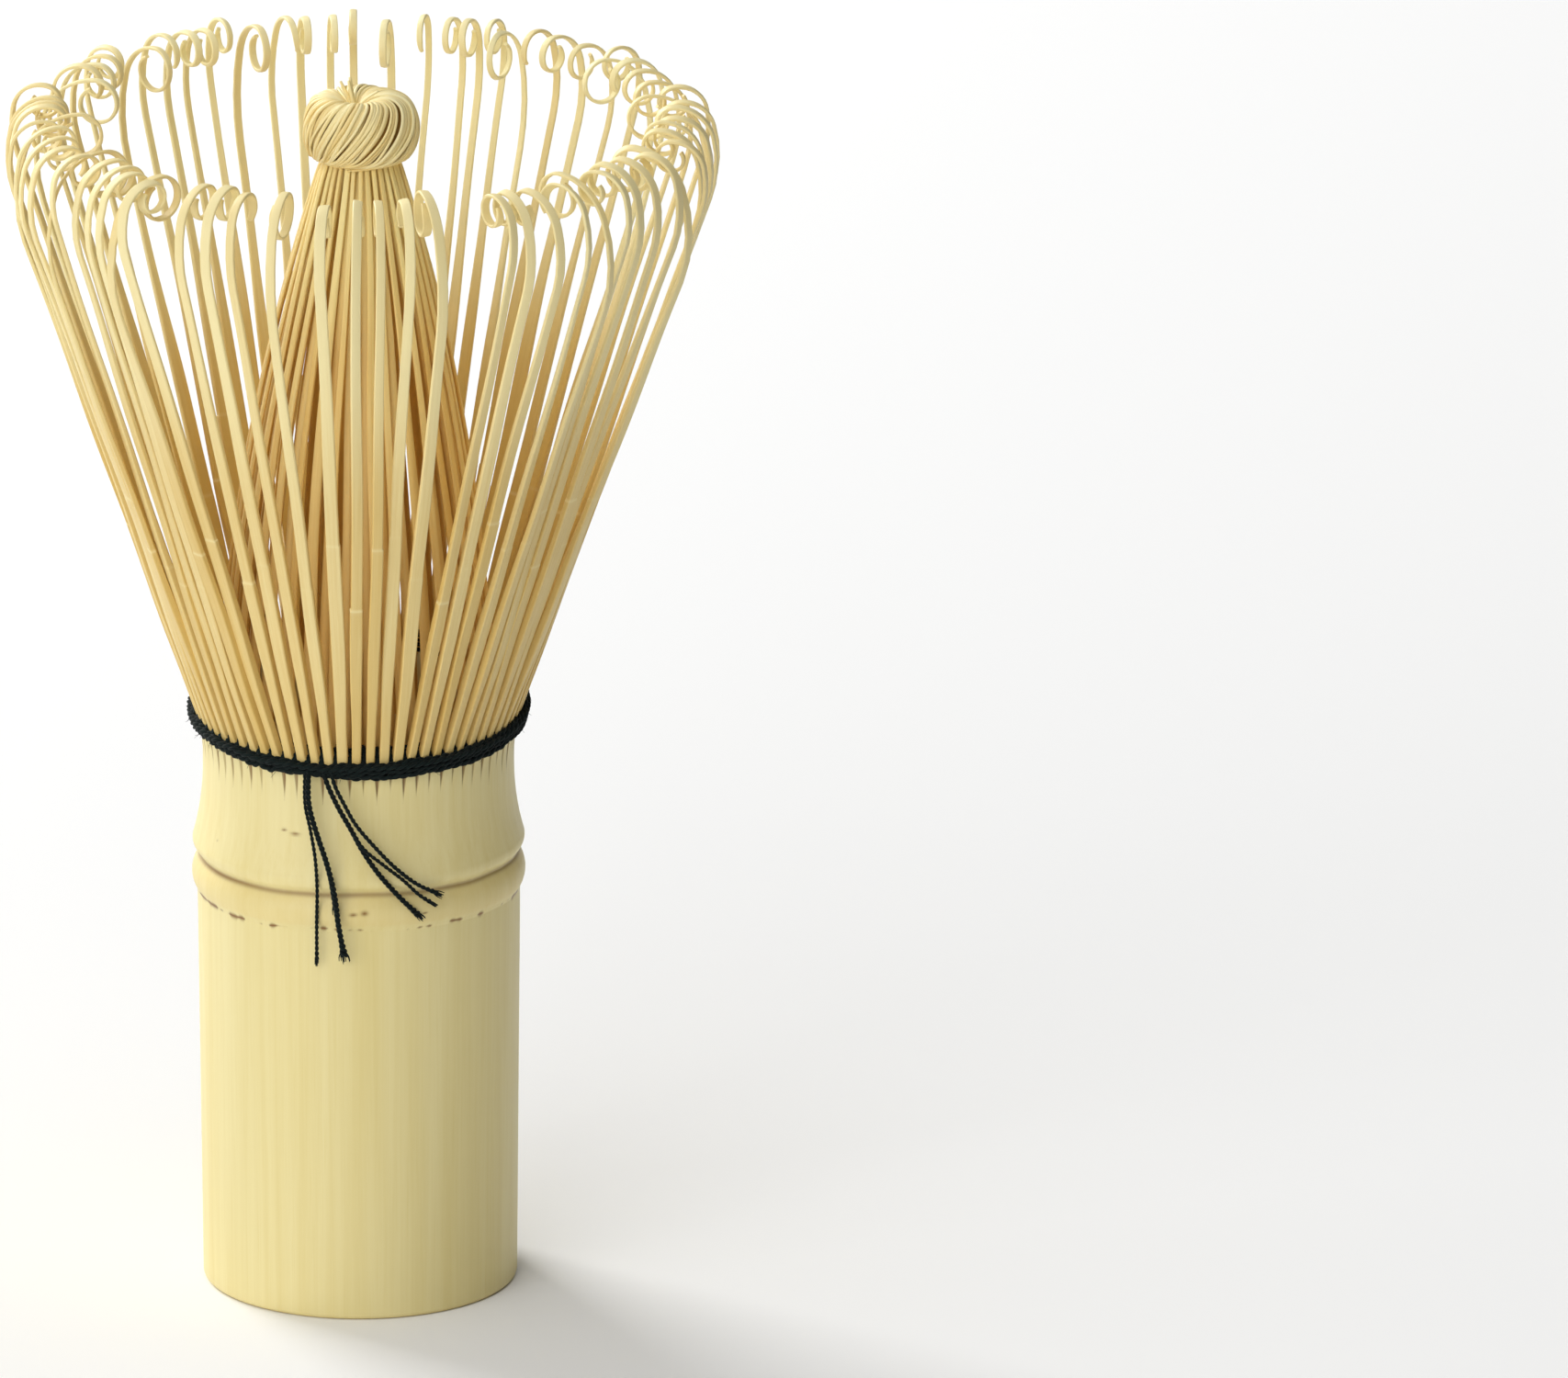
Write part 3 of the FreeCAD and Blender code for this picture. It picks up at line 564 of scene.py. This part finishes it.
def add_blade(pile, k):
    azimuth, plane, flare, name = tine_layout(k)
    turns = [(radius, math.radians(turn)) for radius, turn in CURLS[name]]
    own = np.random.default_rng(1000 + k)
    hinge = float(band_height(azimuth)) + HINGE_RISE
    (r1, t1), (r2, _) = turns[:2]
    first = t1 - FLARE
    rim = RIM_HEIGHT - RIM_DIP * (1 - math.sin(azimuth))
    shoulder = rim - r1 * (math.sin(FLARE) + math.sin(first)) - r2 * (1 - math.sin(first))
    length = (shoulder - hinge) / math.cos(FLARE)

    # the side view: x outwards and z up from the hinge, heading measured from upright
    tick = (own.uniform(TICK_LOW, TICK_HIGH) - hinge) / math.cos(FLARE)
    at = np.sort(np.concatenate([np.linspace(0, length, 42),
                                 tick + np.array([-0.5, -0.18, -0.04, 0.05, 0.3, 0.6])]))
    x, z = list(math.sin(flare) * at), list(math.cos(flare) * at)
    heading = [flare] * len(at)
    stem = len(at) - 1
    for radius, turn in turns:
        radius *= own.uniform(0.97, 1.03)
        count = max(4, round(turn / math.radians(9)))
        for _ in range(count):
            bend = turn / count
            chord = 2 * radius * math.sin(bend / 2)
            middle = heading[-1] - bend / 2
            x.append(x[-1] + math.sin(middle) * chord)
            z.append(z[-1] + math.cos(middle) * chord)
            heading.append(heading[-1] - bend)
    x, z, heading = np.array(x), np.array(z), np.array(heading)
    run = np.concatenate([[0], np.cumsum(np.hypot(np.diff(x), np.diff(z)))])
    rise = np.clip(run / length, 0, 1)
    past = np.clip((run - run[stem]) / (run[-1] - run[stem]), 0, 1)

    # the natural wander of split bamboo, and the sideways drift of the curl
    bow = np.sin(math.pi * rise) * own.normal(0, 0.16)
    bow = bow + 0.05 * np.sin(2 * math.pi * (2.3 * rise + own.uniform())) * smooth(rise * 5)
    aside = np.sin(math.pi * rise) * own.normal(0, 0.12)
    aside = aside + 0.04 * np.sin(2 * math.pi * (1.7 * rise + own.uniform())) * smooth(rise * 5)
    aside = aside + own.normal(0, 0.6) * past**1.5
    fade = 1 - smooth(past * 3)
    ray = np.array([math.cos(plane), math.sin(plane), 0.0])
    side = np.array([-math.sin(plane), math.cos(plane), 0.0])
    radius = float(culm_radius(hinge)) - ROOT_THICKNESS / 2
    pivot = np.array([radius * math.cos(azimuth), radius * math.sin(azimuth), hinge])
    path = pivot + (x + bow * fade)[:, None] * ray + aside[:, None] * side + z[:, None] * UP
    outward = np.cos(heading)[:, None] * ray - np.sin(heading)[:, None] * UP

    # the root below the hinge, on the culm's own surface
    low = np.linspace(hinge - HINGE_RISE - ROOT_TUCK, hinge, 6)[:-1]
    root_ray = np.array([math.cos(azimuth), math.sin(azimuth), 0.0])
    below = (culm_radius(low) - ROOT_THICKNESS / 2)[:, None] * root_ray + low[:, None] * UP
    slope = np.gradient(culm_radius(low), low)
    tilt = unit(root_ray - slope[:, None] * UP)
    path = np.concatenate([below, path])
    outward = np.concatenate([tilt, outward])
    run = np.concatenate([run[0] - (hinge - low), run])
    across, outward = frames(path, outward)
    twist = math.radians(own.normal(0, 9.0)) * smooth(run / length)
    across, outward = turned(across, outward, twist)

    # thick at the root, shaved down above the tick, thin in the curl
    share = run / length
    thick = np.interp(share, [0, 0.2, 0.33, 0.42, 0.7, 1.0, 1.25],
                      [0.72, 0.7, 0.6, 0.5, 0.42, 0.32, 0.26])
    side_on = 0.3 * abs(math.cos(azimuth)) ** 1.5
    wide = np.interp(share, [0, 0.1, 0.25, 0.6, 0.9, 1.1, 1.4],
                     [0.84, 0.88, 1.06 + side_on, 1.04 + side_on, 0.9, 0.9, 0.8])
    at_back = smooth((math.sin(azimuth) - 0.1) / 0.5)
    wide = wide * (1 - 0.26 * at_back * smooth((share - 0.5) / 0.3))
    wide = wide * own.uniform(0.86, 1.1) * (1 - 0.3 * past_tip(run))
    clear = own.uniform(0.2, 1.0) ** 2
    step = (0.07 + 0.08 * clear) * (1 - smooth((run - tick + 0.04) / 0.1)) * smooth((run - 2) / 6)
    left, right = (1.0, 0.25) if own.uniform() < 0.5 else (0.25, 1.0)
    half_left, half_right = wide / 2 + step * left * 0.6, wide / 2 + step * right * 0.6
    half = thick / 2
    corner = np.minimum(0.09, half * 0.45)
    crown = 0.035
    zero = np.zeros_like(half)
    section = np.stack([
        np.stack([half_right - corner, half], -1), np.stack([zero, half + crown], -1),
        np.stack([corner - half_left, half], -1), np.stack([-half_left, half - corner], -1),
        np.stack([-half_left, corner - half], -1), np.stack([corner - half_left, -half], -1),
        np.stack([zero, -half], -1), np.stack([half_right - corner, -half], -1),
        np.stack([half_right, corner - half], -1), np.stack([half_right, half - corner], -1),
    ], 1)
    points, quads, triangles = sweep(path, across, outward, section)
    count, around = section.shape[:2]
    grain = strip_grain(section, run, 7.3 * k, 3.1 * k)
    flesh = np.tile([0.05, 0.0, 0.05, 0.6, 0.8, 0.85, 0.8, 0.85, 0.8, 0.6], (count, 1))
    flesh = flesh * (1 - 0.9 * smooth((share - 0.25) / 0.5))[:, None]
    # Near the root the blade's outer faces are painted in the flesh colour too: painted shade over
    # the lower tine.
    flesh = np.maximum(flesh, 0.45 * (1 - smooth(share / 0.35))[:, None])
    # The upper tine and its curl are painted paler, the back tines most: painted light for light
    # through the thin bamboo. The tick adds a pale line of its own.
    pale = (0.65 + 0.25 * at_back) * smooth((share - 0.5) / 0.4) * own.uniform(0.6, 1.1)
    mark = (pale + 0.5 * clear * np.exp(-((run - tick) / 0.14) ** 2))[:, None] * np.ones(around)
    pile.add(points, quads, triangles, grain, own.uniform(0, 1), flesh.ravel(), mark.ravel())


def past_tip(run):
    """0 along a tine, 1 at the very end of its curl."""
    return smooth((run - run[-1] + 1.2) / 1.2)


def make_outer_tines():
    for joint in frame["joints"]:
        node = joint["child"]
        pile = Pile()
        for label in node.split("_")[2:]:
            add_blade(pile, int(label) - 1)
        blade = pile.piece(node.replace("outer_", "") + "_blade", blade_paint,
                           crisp=32)
        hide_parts(node)
        azimuths = [tine_layout(int(label) - 1)[0] for label in node.split("_")[2:]]
        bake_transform(blade)


make_outer_tines()


# ---------------------------------------------------------------- inner tines

KNOT_SHIFT = 0.38          # the knot sits a little to the right of the axis
CONE_FOOT, CONE_NECK, CONE_BULGE = 47.5, 100.3, 1.95


def make_inner_tines():
    pile = Pile()
    for k in range(TINES):
        own = np.random.default_rng(3000 + k)
        layer = k % 2
        azimuth = k * PITCH + own.normal(0, 0.009)
        root, neck = 12.0 - 0.6 * layer, 3.72 - 0.8 * layer
        height = np.linspace(CONE_FOOT, CONE_NECK, 46)
        height = np.concatenate([height, [101.0, 101.7, 102.5]])
        t = (height - CONE_FOOT) / (CONE_NECK - CONE_FOOT)
        chord = root + (neck - root) * np.minimum(t, 1.0)
        bulge = CONE_BULGE * 4 * t * (1 - t)
        over = np.maximum(height - CONE_NECK, 0.0)
        radius = chord + np.maximum(bulge, 0) - 0.35 * over
        radius = radius + 0.1 * np.sin(2 * math.pi * (1.3 * t + own.uniform())) * smooth(4 * t)
        drift = own.normal(0, 0.014) * np.sin(math.pi * np.minimum(t, 1))
        drift = drift + 0.006 * np.sin(2 * math.pi * (2.1 * t + own.uniform())) * smooth(4 * t)
        at = azimuth + drift
        ray = np.stack([np.cos(at), np.sin(at), np.zeros_like(at)], -1)
        path = radius[:, None] * ray + height[:, None] * UP
        path[:, 0] += KNOT_SHIFT * smooth((t - 0.5) / 0.5)
        across, outward = frames(path, ray)
        twist = own.normal(0, 0.16) * smooth(t * 1.5)
        across, outward = turned(across, outward, twist)
        wide = np.interp(t, [0, 0.2, 0.7, 1.0], [0.95, 0.9, 0.68, 0.44]) * own.uniform(0.82, 1.25)
        thick = np.interp(t, [0, 0.3, 1.0], [0.5, 0.38, 0.3])
        shape = np.array([[0.8, 0.75], [0, 1.05], [-0.8, 0.75], [-1, 0], [-0.75, -0.9],
                          [0.75, -0.9], [1, 0]])
        section = shape[None] * np.stack([wide, thick], -1)[:, None] / 2
        points, quads, triangles = sweep(path, across, outward, section)
        grain = strip_grain(section, height, 5.7 * k, 2.9 * k)
        ripe = 0.7 * own.uniform() ** 2
        flesh = np.tile([ripe, ripe, ripe, 0.5, 0.9, 0.9, 0.5], (len(height), 1))
        # The foot of each inner tine is painted in the flesh colour: painted shade inside the ring
        # of outer tines.
        flesh = np.maximum(flesh, 0.35 * (1 - smooth((t - 0.3) / 0.4))[:, None]).ravel()
        # Near the neck each inner tine is painted paler: painted light where the knot shades the
        # top of the cone.
        pale = np.repeat(own.uniform(0.3, 0.9) * smooth((t - 0.66) / 0.3), len(shape))
        pile.add(points, quads, triangles, grain, own.uniform(0, 1), flesh, pale)
    strips = pile.piece("inner_strips", inner_paint, crisp=50)
    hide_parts("inner_tines")
    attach(strips, "root")


make_inner_tines()


# ---------------------------------------------------------------- knot of the inner tips

KNOT_STRANDS = 132
KNOT_RADIUS = 5.2
KNOT_SWIRL = 96                            # degrees that each strand turns on its way down
KNOT_DIMPLE = np.array([-0.45, -1.3])      # the swirl starts a little off the axis
KNOT_MIDDLE = np.array([KNOT_SHIFT, 0.0, 103.4])


def knot_profile(t):
    """Radius and height over the bun, from the dimple (0), over the rim, to the neck (1)."""
    knots = np.array([0.0, 0.07, 0.16, 0.28, 0.42, 0.56, 0.7, 0.82, 0.92, 1.0])
    radii = np.array([0.1, 0.45, 1.3, 2.9, 4.35, 5.08, 5.0, 4.45, 3.8, 3.3])
    highs = np.array([105.2, 106.3, 107.2, 107.5, 106.8, 105.1, 103.4, 102.2, 102.0, 101.7])
    path = spline(np.stack([knots * 12, radii, highs], -1), 200)
    return np.interp(t, path[:, 0] / 12, path[:, 1]), np.interp(t, path[:, 0] / 12, path[:, 2])


def knot_dent(azimuth, t):
    """How far the bun sinks along its creases, which run down with the swirl."""
    depth = 0.32 * np.maximum(wander(azimuth, 205, 14, 5), 0.0) * np.ones_like(t)
    for place, deep, wide in ((-1.95, 0.6, 0.1), (1.5, 0.6, 0.15), (2.7, 0.35, 0.2)):
        apart = (azimuth - place + math.pi) % (2 * math.pi) - math.pi
        depth = depth + deep * np.exp(-((apart / wide) ** 2))
    return depth * smooth(t * 6) * smooth((1 - t) * 6)


def make_knot():
    pile = Pile()
    count = 40
    for k in range(KNOT_STRANDS):
        own = np.random.default_rng(5000 + k)
        start = own.uniform(0.0, 0.12)
        t = np.linspace(start, 1.0, count)
        first = 2 * math.pi * k / KNOT_STRANDS + own.normal(0, 0.03)
        straighter = 45 * math.exp(-(((first - 3.9) / 0.8) ** 2))
        swirl = math.radians(own.normal(KNOT_SWIRL, 9) - straighter)
        azimuth = first - swirl * (0.25 * t + 0.75 * t**1.6) - 0.35 * smooth((t - 0.76) / 0.24)
        azimuth = azimuth + own.normal(0, 0.07) * np.sin(math.pi * t)
        radius, height = knot_profile(t)
        sink = knot_dent(first, t) + 0.36 * own.uniform() + 0.45 * own.uniform() ** 4
        radius = radius - sink * np.clip(radius / KNOT_RADIUS, 0.15, 1) * 0.9
        height = height - sink * smooth((0.45 - t) / 0.4) * 0.8
        offset = KNOT_DIMPLE * (1 - smooth(t / 0.5))[:, None]
        path = np.stack([radius * np.cos(azimuth) + offset[:, 0] + KNOT_SHIFT,
                         radius * np.sin(azimuth) + offset[:, 1], height], -1)
        outward = path - KNOT_MIDDLE
        across, outward = frames(path, outward)
        wide = 0.185 * own.uniform(0.7, 1.25)
        wide = wide * np.interp(t, [0, 0.12, 0.3, 1], [0.5, 0.75, 1.0, 0.8])
        points, quads, triangles = sweep(path, across, outward, round_section(wide, 6, 0.75))
        around = 6
        run = np.repeat(t[:, None] * 12, around, 1)
        side = np.tile(np.arange(around) * 0.1, (count, 1))
        grain = np.stack([np.full_like(run, 4.1 * k), side, run], -1).reshape(-1, 3)
        # Strands sunk into the creases, and the bun's underside by the neck, are painted darker in
        # the flesh colour: painted shade.
        shade = 0.5 * np.clip(sink / 0.9, 0, 1) + 0.35 * smooth((t - 0.72) / 0.28)
        flesh = np.repeat(np.clip(shade, 0, 1), around)
        pile.add(points, quads, triangles, grain, own.uniform(0, 1), flesh)
    strands = pile.piece("knot_strands", knot_paint)
    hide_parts("tip_knot")
    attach(strands, "root")

    # the core beneath the strands, painted dark all over: painted shade that shows in the creases
    # between the strands
    core = Pile()
    around, rows = 64, 40
    t = np.linspace(0.02, 1.0, rows)
    angle = np.arange(around) * 2 * math.pi / around
    radius, height = knot_profile(t)
    radius = np.repeat(radius[:, None], around, 1)
    height = np.repeat(height[:, None], around, 1)
    swirled = angle[None] + math.radians(KNOT_SWIRL) * (0.25 * t + 0.75 * t**1.6)[:, None]
    sink = 0.55 + knot_dent(swirled, np.repeat(t[:, None], around, 1))
    radius = radius - sink * np.clip(radius / KNOT_RADIUS, 0.15, 1)
    height = height - sink * smooth((0.45 - t) / 0.4)[:, None]
    offset = KNOT_DIMPLE * (1 - smooth(t / 0.5))[:, None]
    points = np.stack([radius * np.cos(angle) + offset[:, :1] + KNOT_SHIFT,
                       radius * np.sin(angle) + offset[:, 1:], height], -1)
    # Flesh, tone and brown mark at their darkest: painted shade.
    core.add(points.reshape(-1, 3), ring_quads(rows, around), end_fans(rows, around),
             flesh=1.0, tone=0.9, mark=0.75)
    body = core.piece("knot_core", knot_paint)
    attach(body, "root")

    # a few tips that stand out of the dimple and strands that wrap the neck
    loose = Pile()
    root = KNOT_DIMPLE + np.array([KNOT_SHIFT, 0.0])
    for k, (azimuth, reach, high) in enumerate(((1.9, 1.4, 109.0), (2.3, 1.9, 108.6),
                                                (2.1, 1.1, 108.8), (0.4, 2.2, 107.9))):
        own = np.random.default_rng(6000 + k)
        far = np.array([reach * math.cos(azimuth), reach * math.sin(azimuth)])
        path = spline([(*root, 106.0), (*(root + far * 0.35), 107.1), (*(root + far), high)], 14)
        across, outward = frames(path, path - KNOT_MIDDLE)
        wide = 0.24 * np.linspace(1, 0.5, 14)
        points, quads, triangles = sweep(path, across, outward, round_section(wide, 6, 0.7))
        loose.add(points, quads, triangles, tone=own.uniform(), flesh=0.1)
    for k in range(18):
        own = np.random.default_rng(6100 + k)
        begin = own.uniform(0, 2 * math.pi)
        t = np.linspace(0, 1, 24)
        azimuth = begin - own.uniform(1.0, 1.9) * t
        high = 102.6 - own.uniform(0.3, 0.9) * t - 0.25 * math.cos(begin - 0.3)
        radius = 4.1 + 0.1 * np.sin(math.pi * t) - 0.45 * smooth(t * 1.1) + own.uniform(-0.1, 0.1)
        path = np.stack([radius * np.cos(azimuth) + KNOT_SHIFT, radius * np.sin(azimuth), high], -1)
        across, outward = frames(path, path - np.array([KNOT_SHIFT, 0.0, 101.2]))
        wide = 0.14 * own.uniform(0.8, 1.3) * np.sin(math.pi * np.clip(t, 0.06, 0.94)) ** 0.4
        points, quads, triangles = sweep(path, across, outward, round_section(wide, 6, 0.7))
        loose.add(points, quads, triangles, tone=own.uniform(), flesh=own.uniform(0.1, 0.6))
    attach(loose.piece("knot_loose_tips", knot_paint), "root")


make_knot()


# ---------------------------------------------------------------- thread

YARN, YARN_PITCH = 0.5, 0.42


def add_yarn(pile, path, outward, radius, lay=0.85, plies=2, sides=6, tone=0.3, taper=None,
             fray=0.0):
    """Twisted yarn along a path: plies that wind around it once for each lay."""
    across, out = frames(path, outward)
    run = np.concatenate([[0], np.cumsum(np.linalg.norm(np.diff(path, axis=0), axis=1))])
    size = np.full(len(path), radius * 0.6) if taper is None else radius * 0.6 * taper
    spread = radius * 0.45 * (1 + fray * smooth((run - run[-1] + 1.5) / 1.5))
    for ply in range(plies):
        turn = 2 * math.pi * (run / lay + ply / plies)
        shift = np.cos(turn)[:, None] * across + np.sin(turn)[:, None] * out
        line = path + shift * spread[:, None]
        ply_across, ply_out = frames(line, out)
        points, quads, triangles = sweep(line, ply_across, ply_out, round_section(size, sides))
        grain = np.stack([
            np.tile(np.arange(sides) * 0.12, (len(path), 1)),
            np.full((len(path), sides), ply * 3.0),
            np.repeat(run[:, None], sides, 1),
        ], -1).reshape(-1, 3)
        pile.add(points, quads, triangles, grain, tone)


def make_binding():
    pile = Pile()
    samples = 620
    azimuth = np.linspace(0, 2 * math.pi, samples)
    rounds = [((i - 1.5) * YARN_PITCH, 0.18) for i in range(4)]
    rounds += [((i - 1) * YARN_PITCH, 0.5) for i in range(3)]
    spread = 0.74 + 0.3 * np.cos(azimuth + 0.6)
    spread = spread - 0.28 * np.exp(-(((azimuth - 4.43) / 0.16) ** 2))
    for number, (rise, standoff) in enumerate(rounds):
        wobble = 0.13 * wander(azimuth, 40 + number, 14, 3)
        wobble = wobble + 0.1 * wander(azimuth, 50 + number, 30, 24)
        height = band_height(azimuth) + rise * spread + wobble
        radius = culm_radius(height) + standoff + 0.04 * wander(azimuth, 60 + number, 10, 4)
        ray = np.stack([np.cos(azimuth), np.sin(azimuth), np.zeros(samples)], -1)
        path = radius[:, None] * ray + height[:, None] * UP
        own = np.random.default_rng(70 + number)
        add_yarn(pile, path, ray, YARN / 2 * own.uniform(0.95, 1.1), lay=1.7, sides=8,
                 tone=own.uniform(0.0, 0.4))
    band = pile.piece("binding_yarn", thread_paint)
    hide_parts("binding_thread")
    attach(band, "root")

    # loose fibres that stand off the yarn
    fuzz = Pile()
    own = np.random.default_rng(90)
    for _ in range(170):
        at = own.uniform(0, 2 * math.pi)
        rise = own.uniform(-0.8, 0.8)
        base = float(culm_radius(band_height(at))) + 0.45
        ray = np.array([math.cos(at), math.sin(at), 0.0])
        side = np.array([-math.sin(at), math.cos(at), 0.0])
        start = base * ray + np.array([0, 0, float(band_height(at)) + rise * 0.7])
        lean = own.normal(0, 1, 2)
        reach = own.uniform(0.25, 0.7)
        bend = start + (0.5 * ray + 0.35 * lean[0] * side + np.array([0, 0, rise * 0.6])) * reach
        end = start + (0.8 * ray + 0.9 * lean[0] * side + np.array([0, 0, rise * 1.2])) * reach
        path = spline([start, bend, end], 6)
        across, out = frames(path, ray + np.array([0, 0, 0.3]))
        points, quads, triangles = sweep(path, across, out,
                                         round_section(np.linspace(0.025, 0.01, 6), 3))
        fuzz.add(points, quads, triangles, tone=0.6)
    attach(fuzz.piece("binding_fuzz", thread_paint), "root")


def make_weave():
    """The rounds between the outer and inner tines, and the thread seen between the roots."""
    pile = Pile()
    samples = 320
    azimuth = np.linspace(0, 2 * math.pi, samples)
    ray = np.stack([np.cos(azimuth), np.sin(azimuth), np.zeros(samples)], -1)
    for number in range(4):
        height = band_height(azimuth) + HINGE_RISE + (number - 1.6) * 0.4
        height = height + 0.08 * wander(azimuth, 80 + number, 8, 3)
        path = (12.85 + 0.05 * number) * ray + height[:, None] * UP
        add_yarn(pile, path, ray, 0.2, lay=1.0)
    own = np.random.default_rng(95)
    for k in range(TINES):
        at = (k + 0.5) * PITCH + own.normal(0, 0.004)
        level = float(band_height(at))
        spoke = np.array([math.cos(at), math.sin(at), 0.0])
        tall = own.uniform(1.1, 2.6)
        for lean in (-0.09, 0.09):
            side = np.array([-math.sin(at), math.cos(at), 0.0]) * lean
            outer = float(culm_radius(level + 0.5))
            path = spline([
                (outer + 0.1) * spoke + side + np.array([0, 0, level + 0.35]),
                (outer - 0.15) * spoke + side * 0.7 + np.array([0, 0, level + 0.75]),
                (outer - 0.45) * spoke + side * 0.2 + np.array([0, 0, level + 0.75 + tall * 0.3]),
                (outer - 1.1) * spoke + np.array([0, 0, level + 0.55 + tall * 0.6]),
            ], 12)
            add_yarn(pile, path, spoke[None] + np.array([0, 0, 0.4]), 0.24, lay=0.9,
                     tone=own.uniform(0, 0.4), taper=np.linspace(1.1, 0.8, 12))
    weave = pile.piece("weave_yarn", thread_paint)
    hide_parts("weave_thread")
    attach(weave, "root")


# Each loose end: radius, how far it stands off the handle, how it frays, and its route (x, z).
TAILS = [
    (0.17, 0.0, 1.0, [(-4.45, 50.7), (-4.5, 49.3), (-4.45, 47.2), (-4.0, 45.0), (-3.6, 42.4),
                      (-3.45, 39.6), (-3.5, 36.6), (-3.5, 33.3)]),
    (0.26, 0.3, 2.3, [(-4.1, 50.7), (-4.2, 49.3), (-4.1, 47.3), (-3.5, 45.0), (-2.6, 42.2),
                      (-1.95, 39.4), (-1.6, 36.6), (-1.1, 33.8)]),
    (0.14, 0.1, 1.2, [(-3.3, 44.6), (-2.8, 42.6), (-2.4, 41.0), (-2.15, 39.4), (-1.9, 37.9)]),
    (0.24, 0.0, 1.8, [(-2.95, 50.7), (-2.55, 49.4), (-1.6, 47.3), (-0.5, 45.3), (0.6, 43.2),
                      (1.9, 41.2), (3.6, 39.1), (5.4, 37.1)]),
    (0.19, 0.5, 1.4, [(-2.2, 50.7), (-1.95, 49.5), (-1.0, 47.6), (0.0, 45.8), (1.6, 43.8),
                      (3.3, 41.9), (5.2, 40.2), (7.0, 39.1)]),
    (0.17, 0.25, 1.2, [(-0.3, 45.0), (0.7, 43.5), (2.4, 42.0), (4.0, 40.6), (5.3, 39.2),
                       (6.5, 38.2)]),
]


def make_tails():
    pile = Pile()
    for number, (radius, standoff, fray, route) in enumerate(TAILS):
        own = np.random.default_rng(100 + number)
        points = []
        for x, z in route:
            tuck = 0.75 * float(smooth((z - 49.2) / 1.4))
            reach = 14.75 + standoff * (1 - float(smooth((z - 48.5) / 2.0))) - tuck
            points.append((x, -math.sqrt(reach**2 - x**2), z))
        path = spline(points, 150)
        spoke = path * np.array([1.0, 1.0, 0.0])
        add_yarn(pile, path, spoke, radius, lay=0.95, tone=own.uniform(0, 0.3), fray=fray * 0.4)
        end, along = path[-1], unit(path[-1] - path[-8])
        sides = unit(np.cross(along, unit(spoke[-1])))
        for _ in range(14):
            spread = own.normal(0, 0.3, 2) * fray * 0.6
            tip = end + along * own.uniform(0.2, 0.65) + sides * spread[0] * 0.5
            tip = tip + unit(spoke[-1]) * abs(spread[1]) * 0.3
            start = end - along * 0.5 + sides * spread[0] * 0.12
            strand = spline([start, (start + tip) / 2 + sides * spread[0] * 0.12, tip], 7)
            across, out = frames(strand, spoke[-1])
            made = sweep(strand, across, out, round_section(np.linspace(0.075, 0.03, 7), 4))
            pile.add(*made, tone=own.uniform(0, 0.6))
    tails = pile.piece("tail_yarn", thread_paint)
    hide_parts("thread_tails")
    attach(tails, "root")


make_binding()
make_weave()
make_tails()


# ---------------------------------------------------------------- floor, light and camera

FLOOR_HALF = 6.0      # metres


def make_floor():
    paint = Paint("floor", Base_Color=(0.93, 0.93, 0.925, 1.0), Roughness=0.9,
                  Specular_IOR_Level=0.1)
    half = FLOOR_HALF
    mesh = bpy.data.meshes.new("floor")
    mesh.from_pydata([(-half, -half, 0), (half, -half, 0), (half, half, 0), (-half, half, 0)],
                     [], [(0, 1, 2, 3)])
    mesh.materials.append(paint.material)
    floor = bpy.data.objects.new("floor", mesh)
    bpy.context.scene.collection.objects.link(floor)


def softbox(name, place, target, width, power, colour=(1.0, 1.0, 1.0)):
    light = bpy.data.lights.new(name, "AREA")
    light.shape = "SQUARE"
    light.size = width
    light.energy = power
    light.color = colour
    lamp = bpy.data.objects.new(name, light)
    lamp.location = place
    direction = Vector(target) - Vector(place)
    lamp.rotation_euler = direction.to_track_quat("-Z", "Y").to_euler()
    bpy.context.scene.collection.objects.link(lamp)


def make_light():
    world = bpy.data.worlds.new("studio")
    world.use_nodes = True
    sky = world.node_tree.nodes["Background"]
    sky.inputs["Color"].default_value = (1.0, 1.0, 1.0, 1.0)
    sky.inputs["Strength"].default_value = 0.04
    bpy.context.scene.world = world
    middle = (0.0, 0.0, 0.06)
    softbox("front", (-0.55, -1.32, 0.9), middle, 1.1, 9.8)
    softbox("low_left", (-1.1, -0.85, 0.35), middle, 0.6, 4.2)
    softbox("overhead", (-0.2, 0.1, 1.6), middle, 2.2, 17.0)
    softbox("back_left", (-0.7, 0.9, 0.6), middle, 0.6, 13.0)
    view = bpy.context.scene.view_settings
    view.view_transform = "Standard"
    view.look = "None"


def make_camera():
    """The photograph's view: from the front, a little above, through a long lens."""
    elevation, distance = math.radians(17.65), 3.0
    width_seen = 0.13656
    target = Vector((0.03708, 0.0, 0.0534))
    camera = bpy.data.cameras.new("camera")
    camera.sensor_fit = "HORIZONTAL"
    camera.sensor_width = 36.0
    camera.lens = distance * camera.sensor_width / width_seen
    camera.clip_start, camera.clip_end = 0.01, 50.0
    holder = bpy.data.objects.new("camera", camera)
    holder.location = target + distance * Vector((0, -math.cos(elevation), math.sin(elevation)))
    holder.rotation_euler = (math.pi / 2 - elevation, 0.0, 0.0)
    bpy.context.scene.collection.objects.link(holder)
    bpy.context.scene.camera = holder


make_floor()
make_light()
make_camera()
